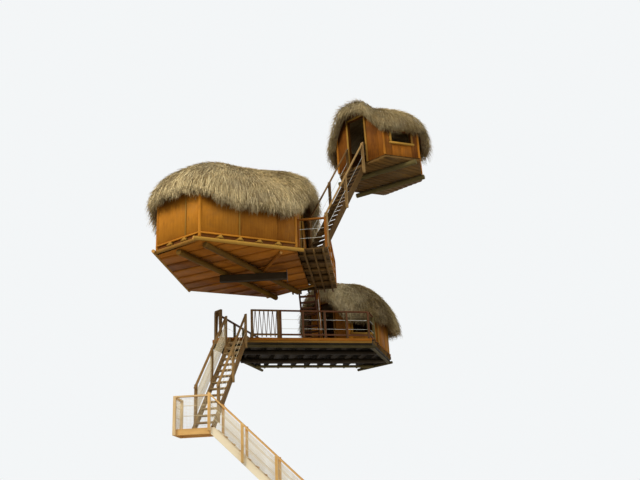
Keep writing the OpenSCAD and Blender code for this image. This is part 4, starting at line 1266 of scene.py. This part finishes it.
class TREEHOUSE_OT_poles(bpy.types.Operator):
    """Main poles, rim poles, brace and trunk beam"""
    bl_idname = "treehouse.poles"
    bl_label = "Poles and beams"

    def execute(self, context):
        pole_piece("large_main_poles", "large_main_logs", ("log", "log"), 60, 0.07, 0.012)
        pole_piece("terrace_poles", "terrace_logs", ("dark", "dark"), 61, 0.07, 0.012)
        pole_piece("upper_beams", "upper_logs", ("grey", "grey"), 62, 0.07, 0.012)
        peeled = ("peeled", "cut")
        pole_piece("large_rim_poles", "large_rim_logs", peeled, 63)
        pole_piece("terrace_rim_poles", "terrace_rim_logs", ("grey", "grey"), 64)
        pole_piece("large_brace", "large_brace_log", ("stained", "cut"), 65)
        sawn_copy("trunk_beam", "trunk_beam_timber", fitted("dark"), 66, 0.012)
        NODES["trunk_plate"].material_slots[0].material = FINISHES["plate"]
        self.bolts()
        return {"FINISHED"}

    def bolts(self):
        """A washer and a hexagonal head in each corner of the trunk plate."""
        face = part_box("trunk_plate")[0].x
        space, shape = 0.135, Shape()    # half the distance between two bolts
        middle = np.array([[face, y, z] for y in (-space, space) for z in (-space, space)])
        for radius, out, sides in ((0.024, 0.003, 20), (0.017, 0.017, 6)):
            a = np.linspace(0, 2 * np.pi, sides, endpoint=False)
            ring = np.stack([0 * a, np.cos(a), np.sin(a)], axis=1) * radius
            rings = [middle[:, None] + ring + [x, 0, 0] for x in (0.0, -out)]
            shape.loft(np.stack(rings, axis=1), 0.5)
        piece("plate_bolts", shape, fitted("plate"))


class TREEHOUSE_OT_thatch(bpy.types.Operator):
    """Thatch of the three cabins: a shell, tufts over it and a fringe at the eave"""
    bl_idname = "treehouse.thatch"
    bl_label = "Thatch"

    def execute(self, context):
        for k, cabin in enumerate(CABINS):
            piece(cabin.name + "_thatch", thatch_body(cabin, 70 + k), fitted("straw"),
                  [cabin.name + "_roof"], smooth=60)
            piece(cabin.name + "_straw", straw_cover(cabin, 80 + k), fitted("straw"))
            piece(cabin.name + "_fringe", straw_fringe(cabin, 90 + k), fitted("straw"))
        return {"FINISHED"}


class TREEHOUSE_OT_stairs(bpy.types.Operator):
    """Strings, treads, railings, the stick balustrade, the landing deck and the nets"""
    bl_idname = "treehouse.stairs"
    bl_label = "Stairs and railings"

    def execute(self, context):
        plain = {"new": ["landing_deck", "first_treads"], "pale": ["first_strings"],
                 "tread": ["second_treads"], "worn": ["second_strings", "stick_balustrade"],
                 "russet": ["third_strings", "third_treads"], "painted_shade": ["fourth_strings", "fourth_treads"]}
        railed = {("new", "post", "cord"): ["landing_railing", "first_rail_near", "first_rail_far"],
                  ("worn", "worn", "cord"): ["second_rail_left", "second_rail_right"],
                  ("worn", "worn", "cable"): ["fourth_rail_left", "fourth_rail_right"],
                  ("lapped", "lapped", "cable"): ["third_rail", "porch_railing"],
                  ("russet", "grey", "cable"): ["terrace_railing", "terrace_back_railing"]}
        jobs = [(node, (key,)) for key, nodes in plain.items() for node in nodes]
        jobs += [(node, keys) for keys, nodes in railed.items() for node in nodes]
        for seed, (node, keys) in enumerate(jobs, 401):
            sawn_copy(node, node + "_timber", fitted(*keys), seed)
        self.nets()
        return {"FINISHED"}

    def nets(self):
        """Nets in the left railing of the second flight, in both of the first, and on two sides of the
        landing, which is square to the first flight."""
        shape = Shape()
        tread_t, from_end, lift, tall = 0.041, 0.05, 0.12, 0.68
        for flight, rails in (("second", ("left",)), ("first", ("near", "far"))):
            treads = points_of(flight + "_treads")
            low, high = treads[:, 2].min(), treads[:, 2].max()
            foot = treads[treads[:, 2] < low + tread_t].mean(0)
            head = treads[treads[:, 2] > high - tread_t].mean(0)
            climb = head - foot
            along = climb * [1, 1, 0] / np.linalg.norm(climb[:2])
            left = np.array([-along[1], along[0], 0.0])
            rate = climb / (climb @ along)
            for name in rails:
                rail = points_of(flight + "_rail_" + name) - foot
                first, last = (rail @ along).min() + from_end, (rail @ along).max() - from_end
                start = foot + (rail.mean(0) @ left) * left + first * rate
                net(shape, start + [0, 0, lift], (last - first) * rate, (0, 0, tall))
        from_corner, shorter, lift, tall = 0.04, 0.06, 0.015, 0.84
        rail = points_of("landing_railing")
        x, y = rail @ along, rail @ left
        corner = along * (x.max() - from_corner) + left * (y.max() - from_corner)
        level = corner * [1, 1, 0] + [0, 0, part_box("landing_deck")[1].z + lift]
        net(shape, level, -along * (np.ptp(x) - shorter), (0, 0, tall))
        net(shape, level, -left * (np.ptp(y) - shorter), (0, 0, tall))
        piece("landing_nets", shape, fitted("cord"))


class TREEHOUSE_PT_panel(bpy.types.Panel):
    """Sizes, colours and the steps that make the pieces"""
    bl_label = "Tree House"
    bl_space_type = "VIEW_3D"
    bl_region_type = "UI"
    bl_category = "Tree House"

    def draw(self, context):
        for group in GROUPS:
            box = self.layout.box()
            box.label(text=group.capitalize())
            held = sizes(group)
            for key in held.bl_rna.properties.keys():
                if key not in ("rna_type", "name"):
                    box.prop(held, key)
        for step in STEPS:
            self.layout.operator(step.bl_idname)


STEPS = (TREEHOUSE_OT_stage, TREEHOUSE_OT_walls, TREEHOUSE_OT_floors, TREEHOUSE_OT_poles,
         TREEHOUSE_OT_thatch, TREEHOUSE_OT_stairs)
CLASSES = (*GROUPS.values(), *STEPS, TREEHOUSE_PT_panel)


def register():
    """Registers every class, and ties each group of sizes to the scene."""
    for cls in CLASSES:
        bpy.utils.register_class(cls)
    for key, cls in GROUPS.items():
        setattr(bpy.types.Scene, "tree_house_" + key, PointerProperty(type=cls))


def unregister():
    """Undoes register, the other way round."""
    for key in GROUPS:
        delattr(bpy.types.Scene, "tree_house_" + key)
    for cls in reversed(CLASSES):
        bpy.utils.unregister_class(cls)


def main():
    """Registers the classes, makes every piece in order and gathers the boxes of the solids and of the
    result.
    """
    register()
    make_finishes()
    for step in STEPS:
        getattr(bpy.ops.treehouse, step.bl_idname.split(".")[1])()
    {"cad": CAD_BOX, "visual": [list(corner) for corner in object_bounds()]}


if __name__ == "__main__":
    main()
